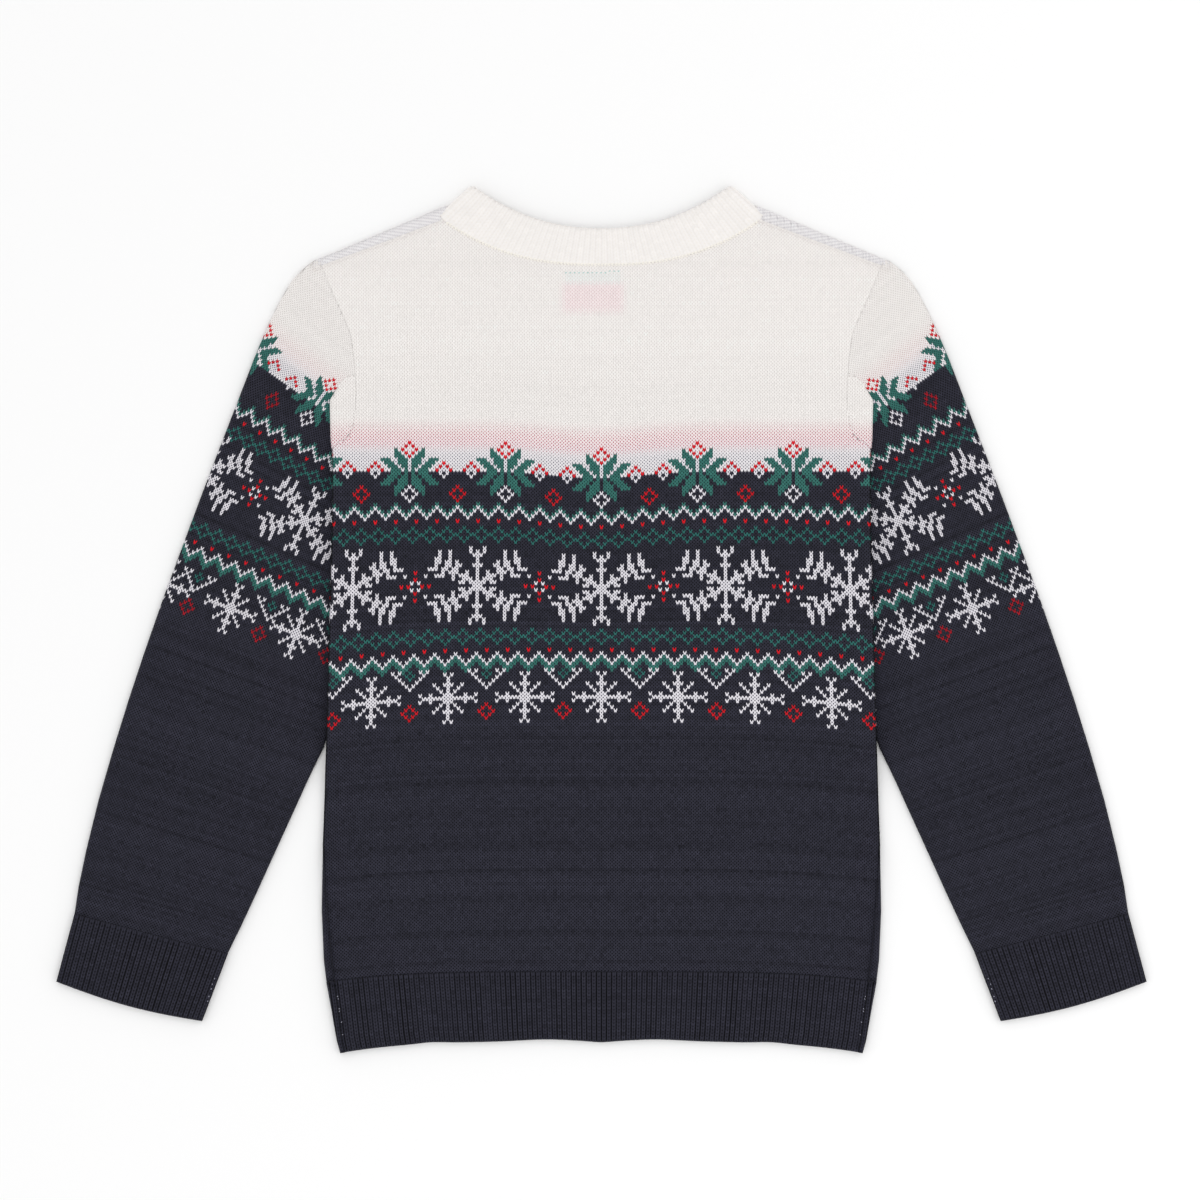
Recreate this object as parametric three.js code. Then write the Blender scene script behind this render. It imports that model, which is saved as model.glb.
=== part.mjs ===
// A child's fine-knit crew-neck pullover with a snowflake and flower yoke, laid flat on its front.
// Millimetres. +Z is up from the table, +Y runs from the hem to the neck, the back panel is uppermost,
// and the origin is on the table at the middle of the garment. Every table gives the +X half, and the
// other half mirrors it.
import * as THREE from "three";

const { lerp, smoothstep } = THREE.MathUtils;

// Cloth and layers
const cloth = 1.5; // thickness of one knitted layer
const neckBandCloth = 2.4; // the neck band is knitted double
const layerGap = 0.4; // air between a lower and an upper layer that lie flat
const seamGap = 0.3; // between two pieces that are sewn edge to edge
const labelCloth = 1.0;

// Body, back view
const neckPoint = { out: 98, y: 247.6 }; // where the shoulder seam meets the neck band
const shoulderPoint = { out: 173.3, y: 219.4 }; // where it meets the armhole
const backNeckY = 220.1; // lowest point of the back neckline
const frontNeckY = 183; // lowest point of the front neckline, hidden under the back
const foldNeck = { out: 102.6, y: 254 }; // the front runs over the shoulder fold, from here
const foldShoulder = { out: 178.5, y: 222.3 }; // to here
const hemTopY = -217.6; // at the middle; both hem lines droop towards the sides
const hemTopDroop = 5.9;
const hemEndY = -261;
const hemEndDroop = 7.2;

// Armhole seam from the shoulder point to the underarm point
const armhole = [
  { out: shoulderPoint.out, y: shoulderPoint.y },
  { out: 169.4, y: 210.2 },
  { out: 165.4, y: 200.9 },
  { out: 159.3, y: 187.6 },
  { out: 154.9, y: 176.3 },
  { out: 153.2, y: 164.1 },
  { out: 152.3, y: 151.3 },
  { out: 151.6, y: 137.0 },
  { out: 152.6, y: 125.0 },
  { out: 155.3, y: 114.7 },
  { out: 160.5, y: 110.6 },
  { out: 166.5, y: 108.5 },
];
const underarm = armhole.at(-1);
const armholeSleeveEnd = 8; // the sleeve's mouth spans the knots down to this one

// Side edge of the body, from the underarm to the hem's corner. turned is how far the front's margin
// lies turned onto the back, with the side seam at its inner edge.
const sideEdge = [
  { y: 108.5, out: 166.5, turned: 0 },
  { y: 62, out: 166.5, turned: 0 },
  { y: 0, out: 168.2, turned: 0 },
  { y: -75.6, out: 170.2, turned: 0 },
  { y: -140, out: 172.6, turned: 0 },
  { y: -180, out: 173.3, turned: 3.4 },
  { y: -211, out: 172.0, turned: 5.2 },
  { y: -224, out: 170.4, turned: 5.2 },
  { y: -235.6, out: 168.3, turned: 4.6 },
  { y: -260.4, out: 164.0, turned: 3.4 },
  { y: -267.8, out: 162.0, turned: 3.0 },
];
const turnStartY = -150; // the side seam comes onto the back below this
const marginColumn = 3.4; // least width of the front's margin columns
const stepWidth = 0.25; // a turned margin rises this steeply at the side seam

// Where the sleeve lies under the body's side, the body is lifted over it.
const sleeveLift = 3.9;
const liftInner = 143;
const liftOuter = 156;
const liftEase = 0.45; // the back lies this much looser where it is lifted
const liftRows = { start: 150, full: 114, lastFull: -84, end: -112 };

// Over the front of the neck band the back rises by this much.
const neckRise = 2.1;

// Sleeve: one row for each section, from the armhole to the cuff. pull is how far the section still
// bends like the armhole.
const sleeveSections = [
  { innerOut: 152.6, innerY: 125.0, outerOut: 178.5, outerY: 222.3, pull: 1 },
  { innerOut: 156.2, innerY: 115.7, outerOut: 182.2, outerY: 219.6, pull: 1 },
  { innerOut: 161.1, innerY: 111.7, outerOut: 186.4, outerY: 216.0, pull: 1 },
  { innerOut: 166.4, innerY: 109.8, outerOut: 191.3, outerY: 210.8, pull: 1 },
  { innerOut: 167.9, innerY: 107.0, outerOut: 193.2, outerY: 208.0, pull: 1 },
  { innerOut: 169.6, innerY: 98.0, outerOut: 199.2, outerY: 197.5, pull: 0.9 },
  { innerOut: 168.4, innerY: 87.0, outerOut: 206.4, outerY: 183.0, pull: 0.75 },
  { innerOut: 162.6, innerY: 71.0, outerOut: 215.5, outerY: 161.2, pull: 0.6 },
  { innerOut: 158.8, innerY: 50.0, outerOut: 225.0, outerY: 136.4, pull: 0.45 },
  { innerOut: 158.0, innerY: 24.0, outerOut: 236.8, outerY: 106.0, pull: 0.3 },
  { innerOut: 158.4, innerY: -4.0, outerOut: 248.9, outerY: 74.4, pull: 0.15 },
  { innerOut: 160.6, innerY: -32.0, outerOut: 260.4, outerY: 43.4, pull: 0 },
  { innerOut: 165.2, innerY: -58.0, outerOut: 271.9, outerY: 12.4, pull: 0 },
  { innerOut: 172.2, innerY: -79.0, outerOut: 282.7, outerY: -18.6, pull: 0 },
  { innerOut: 181.8, innerY: -99.0, outerOut: 293.0, outerY: -49.6, pull: 0 },
  { innerOut: 192.2, innerY: -122.0, outerOut: 302.6, outerY: -80.6, pull: 0 },
  { innerOut: 203.2, innerY: -146.0, outerOut: 311.6, outerY: -111.6, pull: 0 },
  { innerOut: 213.8, innerY: -169.4, outerOut: 319.2, outerY: -142.6, pull: 0 },
  { innerOut: 223.6, innerY: -190.4, outerOut: 323.9, outerY: -165.0, pull: 0 },
  { innerOut: 231.4, innerY: -206.3, outerOut: 326.4, outerY: -181.7, pull: 0 },
];
const foldSections = 4; // the sections above this one lie over the sleeve, in the underarm fold
const underFoldInset = 2.3; // the lower layer's fold lies this far inside the upper layer's
const cuffEnd = { innerOut: 247.4, innerY: -248.4, outerOut: 337.6, outerY: -224.0 };
const cuffSag = 3.0; // the cuff's seam bows this far towards the hand

// Ribs
const hemRibs = 106;
const cuffRibs = 29;
const neckRibs = 50;
const ribHeight = 0.6;

// Neck band: the back half on top, the front half under it, folded at the two sides
const bandSideSeam = { out: 102.2, y: 255.2 };
const bandTip = { out: 81.5, y: 268.5 };
const bandBackTopY = 242.7;
const bandFrontTopY = 205;
const bandTopZ = 4.2; // middle of the back half's cloth
const bandLowZ = neckBandCloth / 2;

const label = { width: 34, depth: 24, topY: 214.6 };

const colours = { ivory: 0xeae5de, navy: 0x2c2e3a, label: 0xd98a92 };

// Smooth value of column key at y in a table whose rows fall in y: cubic between its rows.
function along(table, key, y) {
  const last = table.length - 2;
  const k = Math.min(last, Math.max(0, table.findIndex((row, i) => i <= last && y >= table[i + 1].y)));
  const row = y < table.at(-1).y ? last : k;
  const [a, b] = [table[row], table[row + 1]];
  const before = table[Math.max(0, row - 1)];
  const after = table[Math.min(table.length - 1, row + 2)];
  const t = THREE.MathUtils.clamp((y - a.y) / (b.y - a.y), 0, 1);
  const slopeA = ((b[key] - before[key]) / (b.y - before.y)) * (b.y - a.y);
  const slopeB = ((after[key] - a[key]) / (after.y - a.y)) * (b.y - a.y);
  const s = t * t;
  const c = s * t;
  return (2 * c - 3 * s + 1) * a[key] + (c - 2 * s + t) * slopeA + (3 * s - 2 * c) * b[key] + (c - s) * slopeB;
}

const hemTop = (x) => hemTopY - hemTopDroop * (x / 166) ** 4;
const hemEnd = (x) => hemEndY - hemEndDroop * (x / 162) ** 4;

function backNeckline(out) {
  return backNeckY + (neckPoint.y - backNeckY) * (out / neckPoint.out) ** 2.5;
}

function frontNeckline(out) {
  return frontNeckY + (foldNeck.y - frontNeckY) * (out / foldNeck.out) ** 2.6;
}

// A line {out, y} moved sideways, away from the body when the distance is positive
function beside(line, distance) {
  return line.map((point, i) => {
    const [a, b] = [line[Math.max(0, i - 1)], line[Math.min(line.length - 1, i + 1)]];
    const length = Math.hypot(b.out - a.out, b.y - a.y);
    return {
      out: point.out - ((b.y - a.y) / length) * distance,
      y: point.y + ((b.out - a.out) / length) * distance,
    };
  });
}

// Straight line through two points {out, y}
function lineAt(a, b, out) {
  return lerp(a.y, b.y, (out - a.out) / (b.out - a.out));
}

const shoulderSeam = (out) => lineAt(neckPoint, shoulderPoint, out);
const shoulderFold = (out) => lineAt(foldNeck, foldShoulder, out);

// How far the body, and the sleeve in its underarm fold, are lifted over the sleeve below
function liftAt(x, y) {
  const across = smoothstep(Math.abs(x), liftInner, liftOuter);
  const upper = 1 - smoothstep(y, liftRows.full, liftRows.start);
  const lower = smoothstep(y, liftRows.end, liftRows.lastFull);
  return sleeveLift * across * upper * lower;
}

function riseAtNeck(x, y) {
  return neckRise * smoothstep(y, 150, 186) * (1 - smoothstep(Math.abs(x), 98, 134));
}

// Soft air between the two panels, nothing at the sides
function puffAt(x, y) {
  const side = 1 - smoothstep(Math.abs(x), 96, 150);
  const ends = smoothstep(y, -262, -205) * (1 - smoothstep(y, 120, 185));
  const wave = 1 + 0.45 * Math.cos(x / 27 + y / 95) + 0.4 * Math.cos(y / 33 - x / 120);
  return 0.85 * side * ends * wave;
}

// Middle of the back's cloth
function backLevel(x, y) {
  const lift = liftAt(x, y);
  return cloth * 1.5 + layerGap + lift + liftEase * smoothstep(lift, 0, 1) + riseAtNeck(x, y) + puffAt(x, y);
}

// A closed wall between an outer and an inner grid of points. A tube's columns run right round it.
function wall(outer, inner, tube = false) {
  const rows = outer.length;
  const columns = outer[0].length;
  const points = [...outer.flat(), ...inner.flat()];
  const at = (side, i, j) => (side * rows + i) * columns + (j % columns);
  const faces = [];
  const quad = (a, b, c, d) => faces.push(a, b, c, a, c, d);
  const spans = tube ? columns : columns - 1;
  const end = rows - 1;
  for (let j = 0; j < spans; j++) {
    for (let i = 0; i < end; i++) {
      quad(at(0, i, j), at(0, i, j + 1), at(0, i + 1, j + 1), at(0, i + 1, j));
      quad(at(1, i, j), at(1, i + 1, j), at(1, i + 1, j + 1), at(1, i, j + 1));
    }
    quad(at(0, 0, j), at(1, 0, j), at(1, 0, j + 1), at(0, 0, j + 1));
    quad(at(0, end, j), at(0, end, j + 1), at(1, end, j + 1), at(1, end, j));
  }
  for (let i = 0; !tube && i < end; i++) {
    quad(at(0, i, 0), at(0, i + 1, 0), at(1, i + 1, 0), at(1, i, 0));
    quad(at(0, i, spans), at(1, i, spans), at(1, i + 1, spans), at(0, i + 1, spans));
  }
  return facingOut(points, faces);
}

// Geometry of a closed surface, with its faces turned if they point in
function facingOut(points, faces) {
  let volume = 0;
  for (let k = 0; k < faces.length; k += 3) {
    const [a, b, c] = [points[faces[k]], points[faces[k + 1]], points[faces[k + 2]]];
    volume += a.dot(new THREE.Vector3().crossVectors(b, c));
  }
  if (volume < 0) faces.reverse();
  const geometry = new THREE.BufferGeometry().setFromPoints(points);
  geometry.setIndex(faces);
  geometry.computeVertexNormals();
  return geometry;
}

// Each point of a grid moved along the surface's normal by amount(i, j)
function moved(grid, amount, tube = false) {
  const rows = grid.length;
  const columns = grid[0].length;
  const column = (j) => (tube ? (j + columns) % columns : Math.min(columns - 1, Math.max(0, j)));
  return grid.map((row, i) =>
    row.map((point, j) => {
      const across = new THREE.Vector3().subVectors(row[column(j + 1)], row[column(j - 1)]);
      const ahead = grid[Math.min(rows - 1, i + 1)][j].clone().sub(grid[Math.max(0, i - 1)][j]);
      return across.cross(ahead).normalize().multiplyScalar(amount(i, j)).add(point);
    }),
  );
}

const mirrored = (grid) => grid.map((row) => row.map((p) => new THREE.Vector3(-p.x, p.y, p.z)));

// Body columns as shares of the half width, closer over the lift and at the neck's ends
const neckShare = neckPoint.out / shoulderPoint.out;
const foldShare = foldNeck.out / shoulderPoint.out;
const halfColumns = [0.12, 0.24, 0.36, 0.47, neckShare, foldShare, 0.68, 0.76, 0.83, 0.862, 0.89, 0.92, 0.95];
const marginEndShare = foldShare - 0.004; // the turned margin of the shoulder ends between these two
const frontColumns = [0.24, 0.47, neckShare, marginEndShare, foldShare, 0.76, 0.83, 0.862, 0.89, 0.92, 0.95];
const lowerRows = 11;
const bodyArmhole = beside(armhole, -seamGap / 2).toReversed();

// Y of a neckline at x where the panel's columns cut it into straight pieces
function cutLine(curve, columns, x) {
  const outs = [0, ...columns.map((u) => u * shoulderPoint.out)];
  const out = Math.abs(x);
  const k = Math.max(1, outs.findIndex((o) => o >= out));
  return lerp(curve(outs[k - 1]), curve(outs[k]), (out - outs[k - 1]) / (outs[k] - outs[k - 1]));
}

// Rows of the body below the armhole, each a share of the way up from the hem line
const lowerShares = Array.from({ length: lowerRows }, (_, i) => i / lowerRows);

const symmetric = (shares) => [...shares.toReversed().map((s) => -s), 0, ...shares];

// Width of the front's margin that is turned onto the back
function turnedAt(y) {
  return y < turnStartY ? Math.max(along(sideEdge, "turned", y), marginColumn) : 0;
}

// Back panel: its sides stop at the side seam, its top at the neckline and the shoulder seam
function backPanel() {
  const columns = symmetric([...halfColumns, 1]);
  const rows = [];
  const sideOut = (y) => along(sideEdge, "out", y) - (turnedAt(y) ? turnedAt(y) + seamGap : 0);
  const turnShare = (turnStartY - hemTopY) / (underarm.y - hemTopY);
  const shares = [...lowerShares, turnShare + 0.012, turnShare - 0.001].sort((a, b) => a - b);
  for (const share of shares) {
    const row = [];
    for (const u of columns) {
      const y = lerp(hemTop(u * 166) + seamGap / 2, underarm.y, share);
      row.push({ x: u * sideOut(lerp(hemTopY, underarm.y, share)), y });
    }
    rows.push(row);
  }
  for (const knot of bodyArmhole) {
    const share = (knot.y - underarm.y) / (shoulderPoint.y - underarm.y);
    const row = [];
    for (const u of columns) {
      const out = Math.abs(u) * shoulderPoint.out;
      const top = out < neckPoint.out ? backNeckline(out) : shoulderSeam(out);
      row.push({ x: u * knot.out, y: lerp(underarm.y, top - seamGap / 2, share) });
    }
    rows.push(row);
  }
  const layer = (side) =>
    rows.map((row) => row.map(({ x, y }) => new THREE.Vector3(x, y, backLevel(x, y) + (side * cloth) / 2)));
  return wall(layer(1), layer(-1));
}

// Front panel: flat on the table, its neckline deeper. At the shoulders, and at the sides near the
// hem, its margin is turned over onto the back as one rounded edge as high as the back.
function frontPanel() {
  const marginHalf = [...frontColumns, "seam", "rise", "round", 1];
  const columns = [...marginHalf.toReversed().map((u) => ({ side: -1, u })), { side: 1, u: 0 }];
  columns.push(...marginHalf.map((u) => ({ side: 1, u })));
  const rows = [];
  const addRow = (edgeOut, turned, yAt, topAt) => {
    const width = Math.max(turned, marginColumn);
    rows.push(
      columns.map(({ side, u }) => {
        const inset = { seam: width, rise: width - stepWidth, round: 0.9 }[u];
        const out = inset === undefined ? u * edgeOut : edgeOut - inset;
        const x = side * out;
        const margin = turned > 0 ? { rise: 1, round: 0.92, 1: 0.5 }[u] ?? 0 : 0;
        const y = yAt(x, (out / edgeOut) * shoulderPoint.out);
        const low = liftAt(x, y);
        const shoulder = topAt(x, y, (out / edgeOut) * shoulderPoint.out);
        return { x, y, low, high: Math.max(shoulder, lerp(low + cloth, backLevel(x, y) + cloth / 2, margin)) };
      }),
    );
  };
  const plain = (x, y) => liftAt(x, y) + cloth;
  const turnShare = (turnStartY - hemTopY) / (underarm.y - hemTopY);
  for (const share of [...lowerShares, turnShare - 0.003, turnShare - 0.016].sort((a, b) => a - b)) {
    const y0 = lerp(hemTopY, underarm.y, share);
    const turned = share < turnShare - 0.01 ? turnedAt(y0) : 0;
    addRow(along(sideEdge, "out", y0), turned, (x) => lerp(hemTop(x) + seamGap / 2, underarm.y, share), plain);
  }
  // Above the underarm the rows run up to the shoulder seam's line, then over the turned margin.
  const neckEdge = (out) => frontNeckline(out) - 7;
  for (const knot of bodyArmhole) {
    const share = (knot.y - underarm.y) / (shoulderPoint.y - underarm.y);
    const yAt = (x, out) =>
      lerp(underarm.y, out < neckPoint.out + 1 ? neckEdge(out) : shoulderSeam(out) + seamGap / 2, share);
    addRow(knot.out, 0, yAt, plain);
  }
  const marginRows = [
    { share: 0.05, height: 1 },
    { share: 0.6, height: 1 },
    { share: 0.86, height: 0.92 },
    { share: 1, height: 0.5 },
  ];
  for (const { share, height } of marginRows) {
    const edgeOut = lerp(shoulderPoint.out, foldShoulder.out, share) - seamGap / 2;
    const yAt = (x, out) => {
      if (out < neckPoint.out + 1) return lerp(neckEdge(out), frontNeckline(out), share);
      if (out < foldNeck.out - 0.1) return lerp(shoulderSeam(out) + seamGap / 2, frontNeckline(out), share);
      return lerp(shoulderSeam(out) + seamGap / 2, shoulderFold(Math.abs(x)), share);
    };
    const topAt = (x, y, out) =>
      out < foldNeck.out - 0.1 ? cloth : lerp(cloth, backLevel(x, y) + cloth / 2, height);
    addRow(edgeOut, 0, yAt, topAt);
  }
  const layer = (key) => rows.map((row) => row.map((p) => new THREE.Vector3(p.x, p.y, p[key])));
  return wall(layer("high"), layer("low"));
}

// Plan position on a sleeve section: t runs from the outer fold to the inner edge
const mouth = beside([foldShoulder, ...armhole.slice(0, armholeSleeveEnd + 1)], seamGap / 2);
mouth[0] = { out: foldShoulder.out + 0.4, y: foldShoulder.y - 0.5 }; // its two ends are folds, a little
mouth.at(-1).out += 0.7; // clear of the panels
const mouthShares = mouth.map(({ y }) => (mouth[0].y - y) / (mouth[0].y - mouth.at(-1).y));

function sleevePlan(section, k) {
  if (section === sleeveSections[0]) return new THREE.Vector2(mouth[k].out, mouth[k].y);
  const t = mouthShares[k];
  const chordOut = lerp(mouth[0].out, mouth.at(-1).out, t);
  const bend = section.pull * (mouth[k].out - chordOut);
  return new THREE.Vector2(
    lerp(section.outerOut, section.innerOut, t) + bend,
    lerp(section.outerY, section.innerY, t),
  );
}

// The middle surface of a flattened tube, one row for each section. Its columns run over the top from
// the outer fold to the inner edge and back underneath, with a rounded fold at each end.
function flatTube(sections, planAt, count, topZ, lowZ, lowShift = () => 0) {
  const foldSteps = [0.17, 0.5, 0.83];
  return sections.map((section, s) => {
    const row = [];
    const plan = Array.from({ length: count }, (_, k) => planAt(section, k));
    const put = (p, z) => row.push(new THREE.Vector3(p.x, p.y, z));
    const level = (k, z) => z(plan[k].x, plan[k].y, s, k / (count - 1));
    const fold = (edge, next, upper, lower, downwards) => {
      const radius = (upper - lower) / 2;
      const inwards = next.clone().sub(edge).normalize();
      for (const step of foldSteps) {
        const turn = Math.PI * (downwards ? step : 1 - step);
        const reach = cloth / 2 + radius * (1 - Math.sin(turn));
        put(edge.clone().addScaledVector(inwards, reach), (upper + lower) / 2 + radius * Math.cos(turn));
      }
    };
    const inset = (edge, next, by) => edge.clone().addScaledVector(next.clone().sub(edge).normalize(), by);
    const last = count - 1;
    const ends = [
      { upper: level(0, topZ), lower: level(0, lowZ) },
      { upper: level(last, topZ), lower: level(last, lowZ) },
    ];
    const endInset = (k) => cloth / 2 + (ends[k].upper - ends[k].lower) / 2;
    put(inset(plan[0], plan[1], endInset(0)), ends[0].upper);
    for (let k = 1; k < last; k++) put(plan[k], level(k, topZ));
    put(inset(plan[last], plan[last - 1], endInset(1)), ends[1].upper);
    fold(plan[last], plan[last - 1], ends[1].upper, ends[1].lower, true);
    put(inset(plan[last], plan[last - 1], endInset(1)), ends[1].lower);
    for (let k = last - 1; k > 0; k--) {
      const shifted = plan[k].clone();
      shifted.x -= lowShift(s);
      put(shifted, level(k, lowZ));
    }
    put(inset(plan[0], plan[1], endInset(0)), ends[0].lower);
    fold(plan[0], plan[1], ends[0].upper, ends[0].lower, false);
    return row;
  });
}

// A sleeve's soft crown, nothing where it lies under the body
function sleevePuff(x, y, s, t) {
  const alongSleeve = smoothstep(s, 2, 8) * (1 - smoothstep(s, 15, 19) * 0.7);
  return 1.5 * Math.sin(Math.PI * t) * alongSleeve * smoothstep(x, 172, 190);
}

function sleeve() {
  const foldedLift = (x, y, s) => (s < foldSections ? liftAt(x, y) : 0);
  const top = (x, y, s, t) => cloth * 1.5 + layerGap + foldedLift(x, y, s) + sleevePuff(x, y, s, t);
  const low = (x, y, s) => cloth / 2 + foldedLift(x, y, s);
  const lowShift = (s) => (s === foldSections - 1 || s === foldSections ? underFoldInset : 0);
  const middle = flatTube(sleeveSections, sleevePlan, mouth.length, top, low, lowShift);
  return { outer: moved(middle, () => cloth / 2, true), inner: moved(middle, () => -cloth / 2, true) };
}

// Ribbed cuff, sewn to the sleeve's end: ribs on top, plain underneath
function cuff() {
  const start = sleeveSections.at(-1);
  const sections = [start, cuffEnd];
  const count = cuffRibs * 2 + 1;
  const planAt = (section, k) => {
    const t = k / (count - 1);
    const gap = section === start ? seamGap : 0;
    const bow = section === start ? 0 : cuffSag * Math.sin(Math.PI * t);
    return new THREE.Vector2(
      lerp(section.outerOut, section.innerOut, t),
      lerp(section.outerY, section.innerY, t) - gap - bow,
    );
  };
  const middle = flatTube(sections, planAt, count, () => cloth * 1.5 + layerGap, () => cloth / 2);
  const crest = (i, j) => cloth / 2 + (j > 0 && j < count - 1 && j % 2 === 1 ? ribHeight : 0);
  return { outer: moved(middle, crest, true), inner: moved(middle, () => -cloth / 2, true) };
}

// Hem rib of the back: ribs raised in its upper points
function backHem() {
  const columns = hemRibs * 2 + 1;
  const at = (row, j) => {
    const u = (j / (columns - 1)) * 2 - 1;
    const y0 = row === 0 ? hemEndY - hemEndDroop : hemTopY - hemTopDroop;
    const out = along(sideEdge, "out", y0) - turnedAt(y0) - seamGap;
    const x = u * out;
    const y = row === 0 ? hemEnd(x) : hemTop(x) - seamGap / 2;
    return { x, y, z: backLevel(x, y), rib: j % 2 === 1 ? ribHeight : 0 };
  };
  const layer = (lift) =>
    [0, 1].map((row) =>
      Array.from({ length: columns }, (_, j) => {
        const p = at(row, j);
        return new THREE.Vector3(p.x, p.y, p.z + lift(p));
      }),
    );
  return wall(layer((p) => cloth / 2 + p.rib), layer(() => -cloth / 2));
}

// Hem rib of the front: under the back's, with its sides turned up onto the back
function frontHem() {
  const inner = [0.3, 0.6, 0.85];
  const insets = ["seam", "rise", "round", "edge"];
  const keys = [...insets.toReversed().map((k) => [-1, k]), ...inner.toReversed().map((u) => [-1, u])];
  keys.push([1, 0], ...inner.map((u) => [1, u]), ...insets.map((k) => [1, k]));
  const rows = [0, 0.5, 1].map((share) =>
    keys.map(([side, key]) => {
      const y0 = lerp(hemEndY - hemEndDroop, hemTopY - hemTopDroop, share);
      const edge = along(sideEdge, "out", y0);
      const turned = turnedAt(y0);
      const inset = { seam: turned, rise: turned - stepWidth, round: 0.9, edge: 0 }[key];
      const x = side * (inset === undefined ? key * (edge - turned) : edge - inset);
      const y = lerp(hemEnd(x), hemTop(x) - seamGap / 2, share);
      const margin = { rise: 1, round: 0.92, edge: 0.5 }[key] ?? 0;
      return { x, y, high: lerp(cloth, backLevel(x, y) + cloth / 2, margin) };
    }),
  );
  const layer = (height) => rows.map((row) => row.map((p) => new THREE.Vector3(p.x, p.y, height(p))));
  return wall(layer((p) => p.high), layer(() => 0));
}

// Neck band: a folded ring of doubled rib. Its columns run over the back half from left to right and
// return along the front half, and its rows run from the seam to the upper edge.
function neckBand() {
  const radius = (bandTopZ - bandLowZ) / 2;
  const backCount = neckRibs * 2 + 1;
  const frontCount = 29;
  const rows = [0, 0.5, 1].map((r) => {
    const side = { out: lerp(bandSideSeam.out, bandTip.out, r), y: lerp(bandSideSeam.y, bandTip.y, r) };
    const reach = side.out - (neckBandCloth / 2 + radius);
    const seamReach = bandSideSeam.out - (neckBandCloth / 2 + radius);
    const seamAt = (share, curve, columns, end) => {
      const out = share * seamReach;
      const past = Math.max(0, out - end.out) / (bandSideSeam.out - end.out);
      const seam = cutLine(curve, columns, Math.min(out, end.out)) + seamGap * (1 + share * share);
      return seam + past * (bandSideSeam.y - end.y);
    };
    const backY = (x) => {
      const share = Math.abs(x) / reach;
      const seam = seamAt(share, backNeckline, halfColumns, neckPoint);
      return lerp(seam, lerp(bandBackTopY, bandTip.y, share ** 2.2), r);
    };
    const frontY = (x) => {
      const share = Math.abs(x) / reach;
      const seam = seamAt(share, frontNeckline, frontColumns, foldNeck);
      return lerp(seam, lerp(bandFrontTopY, bandTip.y, share ** 1.9), r);
    };
    const row = [];
    for (let j = 0; j < backCount; j++) {
      const x = lerp(-reach, reach, j / (backCount - 1));
      row.push(new THREE.Vector3(x, backY(x), bandTopZ));
    }
    const turn = (sign) => {
      const steps = sign > 0 ? [0.17, 0.5, 0.83] : [0.83, 0.5, 0.17];
      for (const step of steps) {
        const angle = Math.PI * step;
        const x = sign * (reach + radius * Math.sin(angle));
        const y = lerp(backY(reach), frontY(reach), step);
        row.push(new THREE.Vector3(x, y, (bandTopZ + bandLowZ) / 2 + radius * Math.cos(angle)));
      }
    };
    turn(1);
    for (let j = 0; j < frontCount; j++) {
      const x = lerp(reach, -reach, j / (frontCount - 1));
      row.push(new THREE.Vector3(x, frontY(x), bandLowZ));
    }
    turn(-1);
    return row;
  });
  const crest = (i, j) => neckBandCloth / 2 + (j < backCount && j % 2 === 1 ? ribHeight : 0);
  return wall(moved(rows, crest, true), moved(rows, () => -neckBandCloth / 2, true), true);
}

// Blank label inside the back of the neck, above the front of the neck band
function neckLabel() {
  const low = neckBandCloth + seamGap;
  const geometry = new THREE.BoxGeometry(label.width, label.depth, labelCloth, 6, 3, 1);
  geometry.translate(0, label.topY - label.depth / 2, low + labelCloth / 2);
  return geometry;
}

const group = new THREE.Group();

function add(name, geometry, colour, roughness = 0.92) {
  const mesh = new THREE.Mesh(geometry, new THREE.MeshStandardMaterial({ color: colour, roughness, metalness: 0 }));
  mesh.name = name;
  group.add(mesh);
}

add("back_panel", backPanel(), colours.navy);
add("front_panel", frontPanel(), colours.navy);
add("back_hem_rib", backHem(), colours.navy);
add("front_hem_rib", frontHem(), colours.navy);
add("neck_band", neckBand(), colours.ivory);
add("neck_label", neckLabel(), colours.label, 0.7);
for (const [name, mirror] of [["right", (g) => g], ["left", mirrored]]) {
  const [sleeveWall, cuffWall] = [sleeve(), cuff()];
  add(name + "_sleeve", wall(mirror(sleeveWall.outer), mirror(sleeveWall.inner), true), colours.navy);
  add(name + "_cuff", wall(mirror(cuffWall.outer), mirror(cuffWall.inner), true), colours.navy);
}

export default group;
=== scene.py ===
import math
import bpy
import numpy as np
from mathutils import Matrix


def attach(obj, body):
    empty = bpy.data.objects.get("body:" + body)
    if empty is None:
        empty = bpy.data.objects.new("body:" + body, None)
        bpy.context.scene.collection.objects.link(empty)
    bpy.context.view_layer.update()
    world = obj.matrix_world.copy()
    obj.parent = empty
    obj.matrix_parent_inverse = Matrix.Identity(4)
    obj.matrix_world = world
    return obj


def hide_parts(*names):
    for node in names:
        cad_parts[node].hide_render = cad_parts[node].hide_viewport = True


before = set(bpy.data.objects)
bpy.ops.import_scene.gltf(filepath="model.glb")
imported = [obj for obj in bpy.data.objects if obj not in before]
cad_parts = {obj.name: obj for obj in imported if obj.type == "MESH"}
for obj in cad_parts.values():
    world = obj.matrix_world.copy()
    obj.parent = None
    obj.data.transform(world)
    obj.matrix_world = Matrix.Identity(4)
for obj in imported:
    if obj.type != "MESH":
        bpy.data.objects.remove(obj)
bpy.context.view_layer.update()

# All shapes below are in millimetres, +X to the right, +Y to the neck, +Z up from the table.
# Tables give the +X half, and the other half mirrors it.
millimetre = 0.001  # in metres
cloth = 1.5  # thickness of the knitted cloth
stitchWidth = 2.12
stitchHeight = 2.1
seamHalf = 0.15  # half of the gap between two pieces
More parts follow.
